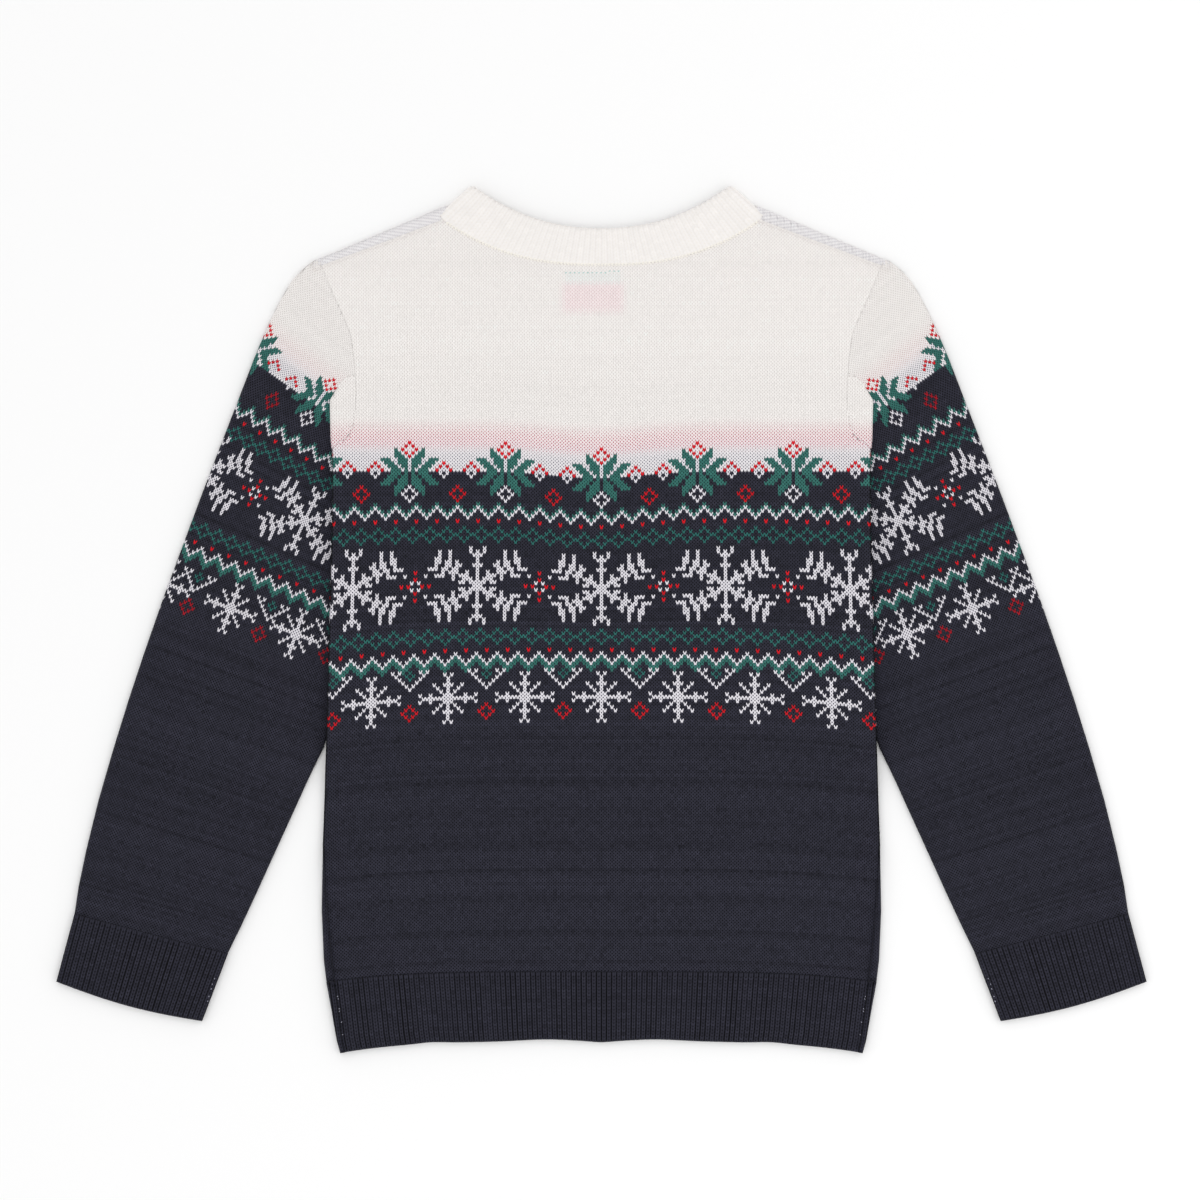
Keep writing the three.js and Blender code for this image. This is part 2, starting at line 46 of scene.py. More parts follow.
tuck = 1.4  # how far a piece runs on under its neighbour at a seam
neckTuck = 2.8  # and into the doubled neck band
rng = np.random.default_rng(25)
scene = bpy.context.scene


# Camera, floor and lights: straight above the laid garment, in soft even light
photo = {"middle": (-0.0009, 0.0124), "width": 0.744, "distance": 2.5, "sensor": 36.0}
cameraData = bpy.data.cameras.new("camera")
cameraData.sensor_width = photo["sensor"]
cameraData.lens = photo["sensor"] * photo["distance"] / photo["width"]
cameraData.clip_end = 20
camera = bpy.data.objects.new("camera", cameraData)
camera.location = (*photo["middle"], photo["distance"])
scene.collection.objects.link(camera)
scene.camera = camera
scene.view_settings.view_transform = "Standard"

floorMesh = bpy.data.meshes.new("floor")
floorLooks = {"half": 4.0, "z": -0.0004, "tone": 0.99, "roughness": 0.9}
cornerSigns = ((-1, -1), (1, -1), (1, 1), (-1, 1))
corners = [(sx * floorLooks["half"], sy * floorLooks["half"], floorLooks["z"]) for sx, sy in cornerSigns]
floorMesh.from_pydata(corners, [], [(0, 1, 2, 3)])
floor = bpy.data.objects.new("floor", floorMesh)
floorPaint = bpy.data.materials.new("floorPaint")
floorPaint.use_nodes = True
floorShader = floorPaint.node_tree.nodes["Principled BSDF"]
floorShader.inputs["Base Color"].default_value = (*[floorLooks["tone"]] * 3, 1)
floorShader.inputs["Roughness"].default_value = floorLooks["roughness"]
floorMesh.materials.append(floorPaint)
scene.collection.objects.link(floor)

skyStrength = 0.98
world = bpy.data.worlds.new("studio")
world.use_nodes = True
world.node_tree.nodes["Background"].inputs["Color"].default_value = (1.0, 1.0, 1.0, 1)
world.node_tree.nodes["Background"].inputs["Strength"].default_value = skyStrength
scene.world = world
lamps = {
    "key": {"at": (-1.3, 1.9, 1.9), "size": 1.6, "power": 74},
    "fill": {"at": (1.7, -1.0, 2.2), "size": 2.0, "power": 26},
}
for name, lamp in lamps.items():
    lampData = bpy.data.lights.new(name, "AREA")
    lampData.size = lamp["size"]
    lampData.energy = lamp["power"]
    lampObject = bpy.data.objects.new(name, lampData)
    lampObject.location = lamp["at"]
    aim = -np.array(lamp["at"])
    lampObject.rotation_euler = (math.acos(-aim[2] / np.linalg.norm(aim)), 0, math.atan2(aim[0], -aim[1]))
    scene.collection.objects.link(lampObject)
print("stage: camera, floor and lights")


def smooth(value, low, high):
    # smoothstep of value between low and high
    t = np.clip((value - low) / (high - low), 0, 1)
    return t * t * (3 - 2 * t)


def linear(red, green, blue):
    # sRGB 0 to 255 to linear 0 to 1
    c = np.array([red, green, blue]) / 255
    return np.where(c <= 0.04045, c / 12.92, ((c + 0.055) / 1.055) ** 2.4)


# Body lines: how far out the armhole and the side lie at each y, and how wide a margin is turned over there
armholeOut = [166.5, 160.5, 155.3, 152.6, 151.6, 152.3, 153.2, 154.9, 159.3, 165.4, 169.4, 173.3]
armholeY = [108.5, 110.6, 114.7, 125.0, 137.0, 151.3, 164.1, 176.3, 187.6, 200.9, 210.2, 219.4]
sideY = [-267.8, -260.4, -235.6, -224, -211, -180, -140, -75.6, 0, 62, 108.5]
sideOut = [162.0, 164.0, 168.3, 170.4, 172.0, 173.3, 172.6, 170.2, 168.2, 166.5, 166.5]
sideTurned = [3.0, 3.4, 4.6, 5.2, 5.2, 3.4, 0, 0, 0, 0, 0]
neckPoint = (98.0, 247.6)
shoulderPoint = (173.3, 219.4)
foldNeck = (102.6, 254.0)
foldShoulder = (178.5, 222.3)
underarmY = 108.5
halfStitches = 78.5  # knit columns in half the body


def hemTop(x):
    # the seam above the hem rib drops with the fourth power of x
    return -217.6 - 5.9 * (x / 166) ** 4


def hemEnd(x):
    # an arc that drops at the sides, with two low waves on each side and a small dip in the middle
    out = np.abs(x)
    waves = 1.25 * np.exp(-(((out - 34) / 21) ** 2)) + 0.8 * np.exp(-(((out - 105) / 11) ** 2))
    return -261 - 7.2 * (x / 162) ** 4 + waves - 0.55 * np.exp(-((x / 9) ** 2))


def backNeckline(x):
    # rises from the middle with a power of |x|
    return 220.1 + 27.5 * (np.abs(x) / 98) ** 2.5


def frontNeckline(x):
    # the same, cut lower
    return 183 + 71 * (np.abs(x) / 102.6) ** 2.6


def lineThrough(a, b, out):
    # y of the straight line through two points
    return a[1] + (b[1] - a[1]) * (out - a[0]) / (b[0] - a[0])


def armOut(y):
    # |x| of the armhole at y, read from its table
    return np.interp(y, armholeY + [222.3], armholeOut + [178.5])


def edgeOut(y):
    # outermost |x| of the body at y
    return np.where(y < underarmY, np.interp(y, sideY, sideOut), 166.5)


def turnedAt(y):
    # width of the front's margin that is turned over onto the back, read from its table
    return np.interp(y, sideY, sideTurned)


def liftAt(x, y):
    # lift of the body over the sleeve that lies under it
    return 3.9 * smooth(np.abs(x), 143, 156) * (1 - smooth(y, 114, 150)) * smooth(y, -112, -84)


def backLevel(x, y):
    # top of the back's cloth: layers below it, lift, rise over the neck band's front, soft air
    lift = liftAt(x, y)
    rise = 2.1 * smooth(y, 150, 186) * (1 - smooth(np.abs(x), 98, 134))
    side = 1 - smooth(np.abs(x), 96, 150)
    ends = smooth(y, -262, -205) * (1 - smooth(y, 120, 185))
    wave = 1 + 0.45 * np.cos(x / 27 + y / 95) + 0.4 * np.cos(y / 33 - x / 120)
    return 3.4 + lift + 0.45 * smooth(lift, 0, 1) + rise + 0.85 * side * ends * wave


def roundOff(distance, radius, drop):
    # quarter ellipse: full drop at the edge, nothing a radius inside it
    t = 1 - np.clip(distance / radius, 0, 1)
    return drop * (1 - np.sqrt(np.clip(1 - t * t, 0, 1)))


# A sheet is a grid of points, rows by columns, with a colour for each cell. uColumn says where each
# column lies across the legs of the stitches: one leg for each whole number.
def makeSheet(points, yarn, behindInShade, uColumn, up=True, rim=cloth):
    return {"points": points, "yarn": yarn, "behindInShade": behindInShade, "u": uColumn, "up": up, "rim": rim}


def mirrorSheet(sheet):
    # x changes its sign and the columns run the other way, so the faces still point the same way
    turned = dict(sheet)
    turned["points"] = sheet["points"][:, ::-1] * np.array([-1, 1, 1])
    turned["yarn"] = sheet["yarn"][:, ::-1]
    turned["behindInShade"] = sheet["behindInShade"][:, ::-1]
    turned["u"] = sheet["u"][-1] - sheet["u"][::-1]
    return turned


leastArea = 0.02
leastEdge = 0.01


def addPiece(name, sheets, material, nodes):
    # joins the sheets' cells that have an area, and hangs a rim on their open edges
    allPoints, allFaces, allUv, allYarn, allBehindInShade = [], [], [], [], []
    start = 0
    for sheet in sheets:
        points = sheet["points"].reshape(-1, 3)
        rows, columns = sheet["points"].shape[:2]
        index = np.arange(rows * columns).reshape(rows, columns)
        corners = np.stack([index[:-1, :-1], index[1:, :-1], index[1:, 1:], index[:-1, 1:]], -1)
        corners = corners.reshape(-1, 4)
        u = np.broadcast_to(sheet["u"][None, :], (rows, columns)).reshape(-1)
        v = np.broadcast_to(np.arange(rows)[:, None], (rows, columns)).reshape(-1)
        yarn = sheet["yarn"].reshape(-1, 3)
        behindInShade = sheet["behindInShade"].reshape(-1, 3)
        p = points[corners]
        area = np.linalg.norm(np.cross(p[:, 2] - p[:, 0], p[:, 3] - p[:, 1]), axis=1) / 2
        kept = area > leastArea
        corners, yarn, behindInShade = corners[kept], yarn[kept], behindInShade[kept]
        uv = np.stack([u[corners], v[corners]], -1).astype(float)
        if not sheet["up"]:
            corners, uv = corners[:, ::-1], uv[:, ::-1]
        allPoints.append(points)
        allFaces.append(corners + start)
        allUv.append(uv)
        allYarn.append(yarn)
        allBehindInShade.append(behindInShade)
        start += len(points)
        if sheet["rim"]:
            edge = np.stack([corners, np.roll(corners, -1, axis=1)], -1).reshape(-1, 2)
            owner = np.repeat(np.arange(len(corners)), 4)
            key = np.sort(edge, axis=1) @ np.array([len(points), 1])
            _, first, count = np.unique(key, return_index=True, return_counts=True)
            rimEdges = first[count == 1]
            length = np.linalg.norm(points[edge[rimEdges, 0]] - points[edge[rimEdges, 1]], axis=1)
            rimEdges = rimEdges[length > leastEdge]
            ends = edge[rimEdges]
            used, where = np.unique(ends, return_inverse=True)
            where = where.reshape(-1, 2)
            down = -1 if sheet["up"] else 1
            hung = points[used] + np.array([0, 0, down * sheet["rim"]])
            hung[:, 2] = np.maximum(hung[:, 2], 0)
            base = start - len(points)
            lower = where + start
            quads = np.stack([ends[:, 0] + base, lower[:, 0], lower[:, 1], ends[:, 1] + base], -1)
            middle = np.full((len(quads), 4, 2), 0.5)
            middle[:, 1:3, 1] = 0.9
            allPoints.append(hung)
            allFaces.append(quads)
            allUv.append(middle)
            allYarn.append(yarn[owner[rimEdges]])
            allBehindInShade.append(behindInShade[owner[rimEdges]])
            start += len(hung)
    points = np.concatenate(allPoints)
    faces = np.concatenate(allFaces)
    used, where = np.unique(faces, return_inverse=True)
    faces = where.reshape(-1, 4)
    points = points[used] * millimetre
    mesh = bpy.data.meshes.new(name)
    mesh.vertices.add(len(points))
    mesh.vertices.foreach_set("co", points.astype(np.float32).ravel())
    mesh.loops.add(faces.size)
    mesh.loops.foreach_set("vertex_index", faces.astype(np.int32).ravel())
    mesh.polygons.add(len(faces))
    mesh.polygons.foreach_set("loop_start", np.arange(0, faces.size, 4, dtype=np.int32))
    mesh.polygons.foreach_set("use_smooth", np.ones(len(faces), dtype=bool))
    mesh.uv_layers.new(name="legs").data.foreach_set("uv", np.concatenate(allUv).astype(np.float32).ravel())
    for layer, colours in (("yarn", allYarn), ("behindInShade", allBehindInShade)):
        rgba = np.ones((len(faces), 4, 4), dtype=np.float32)
        rgba[:, :, :3] = np.concatenate(colours)[:, None, :]
        attribute = mesh.color_attributes.new(name=layer, type="FLOAT_COLOR", domain="CORNER")
        attribute.data.foreach_set("color", rgba.ravel())
    mesh.update(calc_edges=True)
    mesh.validate()
    mesh.materials.append(material)
    piece = bpy.data.objects.new(name, mesh)
    scene.collection.objects.link(piece)
    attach(piece, "root")
    if nodes:
        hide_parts(*nodes)
    print("piece", name, len(faces) * 2, "triangles")
    return piece


# Yarn: one stitch leg for each cell of the UV
def yarnGroup():
    # Height = round dome across the leg, lower at its ends, with the twist of the yarn and its fuzz;
    # gap = Sides times the leg's sides and ends, and Dots times a lattice of dots, one where four
    # stitches meet and one in the middle of each stitch half a row further on, is painted shade between the
    # stitches;
    # Color = Yarn turned to the shaded gap colour by gap
    group = bpy.data.node_groups.new("knittedYarn", "ShaderNodeTree")
    sockets = {
        "UV": "Vector", "Place": "Vector", "Yarn": "Color", "BehindInShade": "Color",
        "Dots": "Float", "Sides": "Float",
    }
    for name, kind in sockets.items():
        group.interface.new_socket(name, in_out="INPUT", socket_type="NodeSocket" + kind)
    group.interface.new_socket("Color", in_out="OUTPUT", socket_type="NodeSocketColor")
    group.interface.new_socket("Height", in_out="OUTPUT", socket_type="NodeSocketFloat")
    nodes, links = group.nodes, group.links
    source, sink = nodes.new("NodeGroupInput"), nodes.new("NodeGroupOutput")

    def put(socket, value):
        if isinstance(value, (int, float)):
            socket.default_value = value
        else:
            links.new(value, socket)

    def calc(operation, *values):
        node = nodes.new("ShaderNodeMath")
        node.operation = operation
        for socket, value in zip(node.inputs, values):
            put(socket, value)
        return node.outputs[0]

    def ramp(value, least, most):
        node = nodes.new("ShaderNodeMapRange")
        node.interpolation_type = "SMOOTHSTEP"
        links.new(value, node.inputs["Value"])
        node.inputs["From Min"].default_value = least
        node.inputs["From Max"].default_value = most
        return node.outputs["Result"]

    split = nodes.new("ShaderNodeSeparateXYZ")
    links.new(source.outputs["UV"], split.inputs[0])
    u, v = split.outputs["X"], split.outputs["Y"]
    across = calc("ABSOLUTE", calc("MULTIPLY_ADD", calc("FRACT", u), 2, -1))
    ahead = calc("ABSOLUTE", calc("MULTIPLY_ADD", calc("FRACT", v), 2, -1))
    dome = calc("SQRT", calc("SUBTRACT", 1, calc("POWER", across, 2)))
    ends = calc("SUBTRACT", 1, calc("MULTIPLY", calc("POWER", ahead, 4), 0.35))
    turns = calc("ADD", calc("MULTIPLY", u, 9.4), calc("MULTIPLY", v, 18.8))
    twist = calc("MULTIPLY", calc("SINE", turns), 0.09)
    endShare = calc("MULTIPLY", calc("POWER", ahead, 4), 0.8)
    side = ramp(calc("ADD", calc("POWER", across, 3), endShare), 0.3, 1.1)
    fromMiddle = calc("ABSOLUTE", calc("MULTIPLY_ADD", calc("FRACT", calc("MULTIPLY", u, 0.5)), 2, -1))

    level = calc("SUBTRACT", v, calc("MULTIPLY_ADD", fromMiddle, 0.75, -0.75))  # the middles hang lower
    waves = calc("MULTIPLY", calc("COSINE", calc("MULTIPLY", u, math.pi)),
                 calc("COSINE", calc("MULTIPLY", level, 2 * math.pi)))
    lattice = ramp(waves, -0.05, 0.75)
    # painted shade: the dots where stitches meet and the legs' sides and ends take the darker gap colour
    sideGap = calc("MULTIPLY", side, source.outputs["Sides"])
    gap = calc("MULTIPLY_ADD", lattice, source.outputs["Dots"], sideGap)

    fuzz = nodes.new("ShaderNodeTexNoise")
    fuzz.inputs["Scale"].default_value = 2600
    fuzz.inputs["Detail"].default_value = 2
    links.new(source.outputs["Place"], fuzz.inputs["Vector"])
    mix = nodes.new("ShaderNodeMix")
    mix.data_type = "RGBA"
    mix.clamp_factor = True
    links.new(gap, mix.inputs["Factor"])
    links.new(source.outputs["Yarn"], mix.inputs["A"])
    links.new(source.outputs["BehindInShade"], mix.inputs["B"])
    shade = calc("MULTIPLY_ADD", fuzz.outputs["Fac"], 0.1, 0.95)
    tone = nodes.new("ShaderNodeVectorMath")
    tone.operation = "SCALE"
    links.new(mix.outputs["Result"], tone.inputs[0])
    links.new(shade, tone.inputs["Scale"])
    links.new(tone.outputs["Vector"], sink.inputs["Color"])
    leg = calc("ADD", calc("MULTIPLY", dome, ends), twist)
    links.new(calc("MULTIPLY_ADD", fuzz.outputs["Fac"], 0.3, leg), sink.inputs["Height"])
    return group


knittedYarn = yarnGroup()
yarnFinish = {"Roughness": 0.92, "Sheen Weight": 0.06, "Sheen Roughness": 0.45, "Specular IOR Level": 0.15}
bumpDepth = 0.0004


def knitMaterial(name, dots, sides, bump):
    # dots and sides say how dark the painted shade in the gaps between and beside the stitches is, bump how
    # strong the relief is
    material = bpy.data.materials.new(name)
    material.use_nodes = True
    nodes, links = material.node_tree.nodes, material.node_tree.links
    shader = nodes["Principled BSDF"]
    for socket, value in yarnFinish.items():
        shader.inputs[socket].default_value = value
    uv = nodes.new("ShaderNodeUVMap")
    uv.uv_map = "legs"
    place = nodes.new("ShaderNodeTexCoord")
    yarn, behindInShade = nodes.new("ShaderNodeVertexColor"), nodes.new("ShaderNodeVertexColor")
    yarn.layer_name, behindInShade.layer_name = "yarn", "behindInShade"
    knit = nodes.new("ShaderNodeGroup")
    knit.node_tree = knittedYarn
    knit.inputs["Dots"].default_value = dots
    knit.inputs["Sides"].default_value = sides
    links.new(uv.outputs["UV"], knit.inputs["UV"])
    links.new(place.outputs["Object"], knit.inputs["Place"])
    links.new(yarn.outputs["Color"], knit.inputs["Yarn"])
    links.new(behindInShade.outputs["Color"], knit.inputs["BehindInShade"])
    links.new(knit.outputs["Color"], shader.inputs["Base Color"])
    bumpNode = nodes.new("ShaderNodeBump")
    bumpNode.inputs["Strength"].default_value = bump
    bumpNode.inputs["Distance"].default_value = bumpDepth
    links.new(knit.outputs["Height"], bumpNode.inputs["Height"])
    links.new(bumpNode.outputs["Normal"], shader.inputs["Normal"])
    return material


bodyYarn = knitMaterial("bodyYarn", 1.0, 0.25, 0.7)
navyYarn = knitMaterial("navyYarn", 0.3, 0.8, 0.7)
ivoryYarn = knitMaterial("ivoryYarn", 0.1, 0.3, 0.3)

# Yarns: colour of the stitches and of the holes between them, both 0 to 255, and unevenness; the holes'
# colour is painted shade, darkened navy behind the white
yarns = {
    "navy": ((49, 49, 61), (5, 5, 8), 0.1),
    "ivory": ((253, 249, 246), (236, 230, 226), 0.012),
    "red": ((226, 26, 38), (130, 18, 30), 0.05),
    "green": ((60, 118, 110), (22, 54, 54), 0.05),
    "white": ((242, 239, 245), (64, 64, 80), 0.03),
    "thinGreen": ((50, 110, 105), (14, 24, 28), 0.06),
    "thinRed": ((208, 26, 38), (40, 16, 22), 0.05),
    "dimRed": ((166, 26, 40), (22, 12, 17), 0.06),
}
navy, ivory, red, green, white, thinGreen, thinRed, dimRed = range(len(yarns))
legColour, gapShadeColour = (np.array([linear(*yarn[part]) for yarn in yarns.values()]) for part in (0, 1))
unevenness = np.array([yarn[2] for yarn in yarns.values()])
redFloats = linear(196, 112, 128)  # yarns carried behind the ivory, seen through it
navyFloats = linear(128, 126, 138)
# painted shade between the neck band's ribs: a darker, warmer copy of its ivory yarn
bandGapShade = linear(244, 237, 227)


def stitchColours(codes, rows, tone=1.0, haze=1.0):
    # colours of stitches and gaps for a chart of codes, with a slight unevenness of rows and stitches; the
    # gaps' darkness is painted shade, with the carried yarns showing through the ivory
    uneven = unevenness[codes][:, :, None]
    rowNoise, cellNoise = rng.standard_normal((codes.shape[0], 1, 1)), rng.standard_normal((*codes.shape, 1))
    even = 1 + uneven * (0.9 * rowNoise + cellNoise)
    onIvory = (codes == ivory)[:, :, None]
    tone = np.where(onIvory, 1 - (1 - tone) * 0.4, tone)
    yarn = legColour[codes] * even * tone
    behindInShade = gapShadeColour[codes] * tone
    row = rows[:, None, None]
    redShare = onIvory * haze * smooth(row, -17, -11) * (1 - smooth(row, -9, -6))
    navyShare = onIvory * smooth(row, -9, -5)
    behindInShade = behindInShade * (1 - 0.09 * onIvory * smooth(row, -50, -20))
    behindInShade = behindInShade + (redFloats - behindInShade) * redShare
    behindInShade = behindInShade + (navyFloats - behindInShade) * navyShare
    pink = haze * smooth(row, -20, -10) ** 2 * (1 - smooth(row, -10, -5)) * np.array([0.01, 0.06, 0.045])
    grey = smooth(row, -12, -6) * np.array([0.05, 0.045, 0.0])
    yarn = np.where(onIvory, yarn * (1 - pink - grey), yarn)
    return np.clip(yarn, 0, 1), behindInShade


def knitSheet(points, yarn, behindInShade, up=True, rim=cloth):
    # a sheet from the colours of a chart's stitches, with one cell for each leg
    u = np.arange(2 * yarn.shape[1] + 1.0)
    return makeSheet(points, np.repeat(yarn, 2, axis=1), np.repeat(behindInShade, 2, axis=1), u, up, rim)


# Motifs as {colour: {row: columns}}, each column on both sides of the middle
flower = {
    red: {-9: [0], -8: [1], -7: [2], -6: [1], -5: [0]},
    white: {-4: [0, 4], -3: [0, 4], -2: [0, 3], -1: [0, 2], 4: [0], 5: [1], 6: [2], 7: [1], 8: [0]},
    green: {
        -7: [4], -6: [3, 4], -5: [2, 3, 4], -4: [1, 2, 3, 6, 7, 8], -3: [1, 2, 3, 5, 6, 7],
        -2: [1, 2, 4, 5, 6], -1: [1, 3, 4, 5], 0: [1, 3, 4, 5], 1: [1, 2, 4, 5, 6], 2: [1, 2, 3, 5, 6, 7],
        3: [1, 2, 3, 6, 7, 8], 4: [2, 3, 4], 5: [3, 4], 6: [4],
    },
}
boundaryDiamond = {red: {-2: [0], -1: [1], 0: [2]}, white: {-1: [0], 0: [0, 1], 1: [1], 2: [0]}}
diamond = {-2: [0], -1: [1], 0: [2], 1: [1], 2: [0]}
snowQuarter = {
    11: [2], 10: [0, 2, 8, 11], 9: [0, 1, 8, 11], 8: [0, 8, 11, 12], 7: [0, 6, 8, 9, 11, 12],
    6: [0, 1, 5, 6, 8, 9, 12], 5: [0, 6, 7, 9, 10, 12, 13, 14], 4: [0, 3, 6, 7, 8, 10],
    3: [0, 3, 4, 5, 7, 10, 11, 12], 2: [0, 2, 3, 4, 7], 1: [0, 1, 2, 4, 5], 0: [0, 1],
}
snowflake = {white: {sign * row: columns for row, columns in snowQuarter.items() for sign in (1, -1)}}
cross = {red: {-4: [0], -2: [0], 0: [2, 4], 2: [0], 4: [0]}, white: {-3: [3], -1: [1], 1: [1], 3: [3]}}
chevron = {white: {0: [3, 5], 1: [4], 2: [3], 3: [2], 4: [1], 5: [0]}, thinGreen: {0: [0], 1: [1], 2: [0]}}
star = {white: {
    -7: [1], -6: [0], -5: [0], -4: [0, 1, 4], -3: [0, 3], -2: [0, 2], -1: [0, 1, 5, 8],
    0: [0, 1, 2, 3, 4, 5, 6, 7], 1: [0, 1, 5, 8], 2: [0, 2], 3: [0, 3], 4: [0, 1, 4], 5: [0], 6: [0], 7: [1],
}}


def stamp(codes, motif, row, column):
    # writes a motif into the chart, with its middle at that row and column
    for colour, lines in motif.items():
        for step, columns in lines.items():
            for out in columns:
                for side in (out, -out):
                    if 0 <= row + step < codes.shape[0] and 0 <= column + side < codes.shape[1]:
                        codes[row + step, column + side] = colour


def bandChart(firstRow, rowCount, columns):
    # the bands that run right round: ivory above row 0, zigzags, lattices and single red stitches
    row = np.arange(firstRow, firstRow + rowCount)[:, None]
    column = columns[None, :]
    codes = np.where(row < 0, ivory, navy) + 0 * column
    tooth = np.minimum(column % 6, 6 - column % 6)
    codes[row == 9 + tooth] = green
    codes[row == 10 + tooth] = white
    codes[(row == 14) & (column % 6 == 0)] = red
    cell = np.minimum(column % 5, 5 - column % 5)
    for top in (16, 46):
        codes[(np.abs(row - top - 2) == 2 - cell)] = thinGreen
    codes[(row == 53 + tooth)] = white
    codes[(row == 54 + tooth) | (row == 55 + tooth)] = green
    codes[(row == 52) & (column % 6 == 3)] = red
    return codes


# Body chart: rows counted down from the lower edge of the ivory yoke
yokeEdgeY = 92.8  # y of that edge
firstRow = -88
bodyRows = 236
backColumns = 165
frontColumns = 169


def columnNumbers(count):
    # 0 in the middle of the body
    return np.arange(-(count // 2), count // 2 + 1)


def bodyChart(columns):
    # the bands, with flowers every 28 stitches, snowflakes every 36 and stars every 22
    codes = bandChart(firstRow, bodyRows, columns)
    middle = -columns[0]
    for at in range(-84, 85, 28):
        stamp(codes, flower, -firstRow, middle + at)
        for side in (-10, 10):
            stamp(codes, boundaryDiamond, -firstRow - 1, middle + at + side)
        stamp(codes, {thinRed: diamond}, 6 - firstRow, middle + at + 14)
    for at in range(-72, 73, 36):
        stamp(codes, snowflake, 33 - firstRow, middle + at)
        stamp(codes, cross, 33 - firstRow, middle + at + 18)
    for at in range(-77, 78, 22):
        stamp(codes, chevron, 58 - firstRow, middle + at)
        stamp(codes, {thinRed: diamond}, 70 - firstRow, middle + at)
        stamp(codes, star, 66 - firstRow, middle + at + 11)
    return codes


def rowY(row, x):
    # y of a knitted row: even rows that droop at the sides, with one dip in the middle of the yoke's edge
    droop = np.interp(row, [0, 12, 55, 100, 147], [0, 2, 6.5, 6.5, 5.9]) * (np.abs(x) / 166) ** 3.5
    dip = 4.2 * np.exp(-(((x + 3) / 38) ** 2)) * smooth(row, -45, -5) * (1 - smooth(row, 15, 60))
    return yokeEdgeY - stitchHeight * row - droop - dip


def stitchGrid(rowCount, columnCount):
    # row number, column number and depth of each point: the middle of a stitch sits lower and deeper
    half = np.arange(2 * columnCount + 1)
    isMiddle = (half % 2)[None, :]
    row = np.arange(rowCount + 1)[:, None] + 0.75 * isMiddle
    return row, half[None, :] / 2 + 0 * row, 0.16 * isMiddle + 0 * row


def bodyPlan(columnCount):
    # x is the column's share of half the body times the side line's |x|, and y is the row's
    row, column, depth = stitchGrid(bodyRows, columnCount)
    row = row + firstRow
    share = (column - columnCount / 2) / halfStitches
    y = rowY(row, share * 166.5)
    x = share * edgeOut(y)
    return x, rowY(row, x), depth


def cellMiddles(points):
    # middle of each stitch, from a grid with two legs for each
    return (points[:-1, 0:-1:2] + points[1:, 2::2]) / 2


# Back panel, and the two rectangles where the label and its stitches tint it
labelGlow = {"x": (-28, -20, 10, 17), "y": (187, 196, 206, 212)}
stripGlow = {"x": (-25, -20, 10, 14), "y": (206, 211, 214, 218)}


def glowAt(place, glow):
    # a rectangle with soft edges: smooth steps up and down again, in x and in y
    share = 1
    for axis, name in enumerate("xy"):
        at = place[:, :, axis:axis + 1]
        share = share * smooth(at, *glow[name][:2]) * (1 - smooth(at, *glow[name][2:]))
    return share


def backPanel():
    # the body's grid, clamped to the outline, on the back's level, with every edge rounded down
    x, y, depth = bodyPlan(backColumns)
    y = np.maximum(y, hemTop(x) - tuck)
    turned = turnedAt(y)
    below = y < underarmY
    sideLimit = edgeOut(y) - turned + tuck * smooth(turned, 0.2, 2)
    limit = np.where(below, sideLimit, armOut(np.minimum(y, shoulderPoint[1])) + 0.3)
    x = np.clip(x, -limit, limit)
    out = np.abs(x)
    atNeck = out < neckPoint[0] + 1.6
    top = np.where(atNeck, backNeckline(x) + neckTuck, lineThrough(neckPoint, shoulderPoint, out) + 0.2)
    y = np.minimum(y, top)
    sideDrop = np.where(below, np.where(turned < 0.5, 1.9, 0.8), 0.02)
    flatter = np.where(below, 1, smooth(limit - out, 0, 2.5)) * smooth(y - hemTop(x), -0.5, 2)
    z = backLevel(x, y) - depth * flatter
    z = z - roundOff(limit - out, sideDrop + 0.3, sideDrop)
    z = z - roundOff(top - y, np.where(atNeck, neckTuck + 0.6, 1.0), np.where(atNeck, 1.1, 0.06))
    z = z - roundOff(y - hemTop(x) + tuck, 2 * tuck, 0.4)
    points = np.stack([x, y, z], -1)
    codes = bodyChart(columnNumbers(backColumns))
    yarn, behindInShade = stitchColours(codes, np.arange(firstRow, firstRow + bodyRows))
    place = cellMiddles(points)
    inLabel, inStrip = glowAt(place, labelGlow), glowAt(place, stripGlow)
    yarn = yarn * (1 - inLabel * np.array([0.0, 0.08, 0.055])) * (1 - inStrip * np.array([0.07, 0.02, 0.01]))
    behindInShade = behindInShade * (1 - inLabel * np.array([0.02, 0.2, 0.15]))
    return knitSheet(points, yarn, behindInShade, rim=2.2)


backPiece = addPiece("knitted_back", [backPanel()], bodyYarn, ["back_panel"])


# Front panel: flat on the table, its margins run round the folds onto the back
def wrapSide(out, edge, turned, low, high):
    # out along the cloth becomes out and height round a fold of half the height, then back inwards
    radius = (high - low) / 2
    share = np.clip(1 - turned / radius, -1, 1)
    length = np.where(turned < radius, (np.pi - np.arcsin(share)) * radius, np.pi * radius + turned - radius)
    length = np.where(turned <= 0, np.pi * radius / 2, length)
    past = np.clip(out - (edge - radius), 0, length)
    angle = np.minimum(past / radius, np.pi)
    flat = np.minimum(out, edge - radius)
    reach = flat + radius * np.sin(angle) - np.maximum(0, past - np.pi * radius)
    return reach, low + radius * (1 - np.cos(angle))


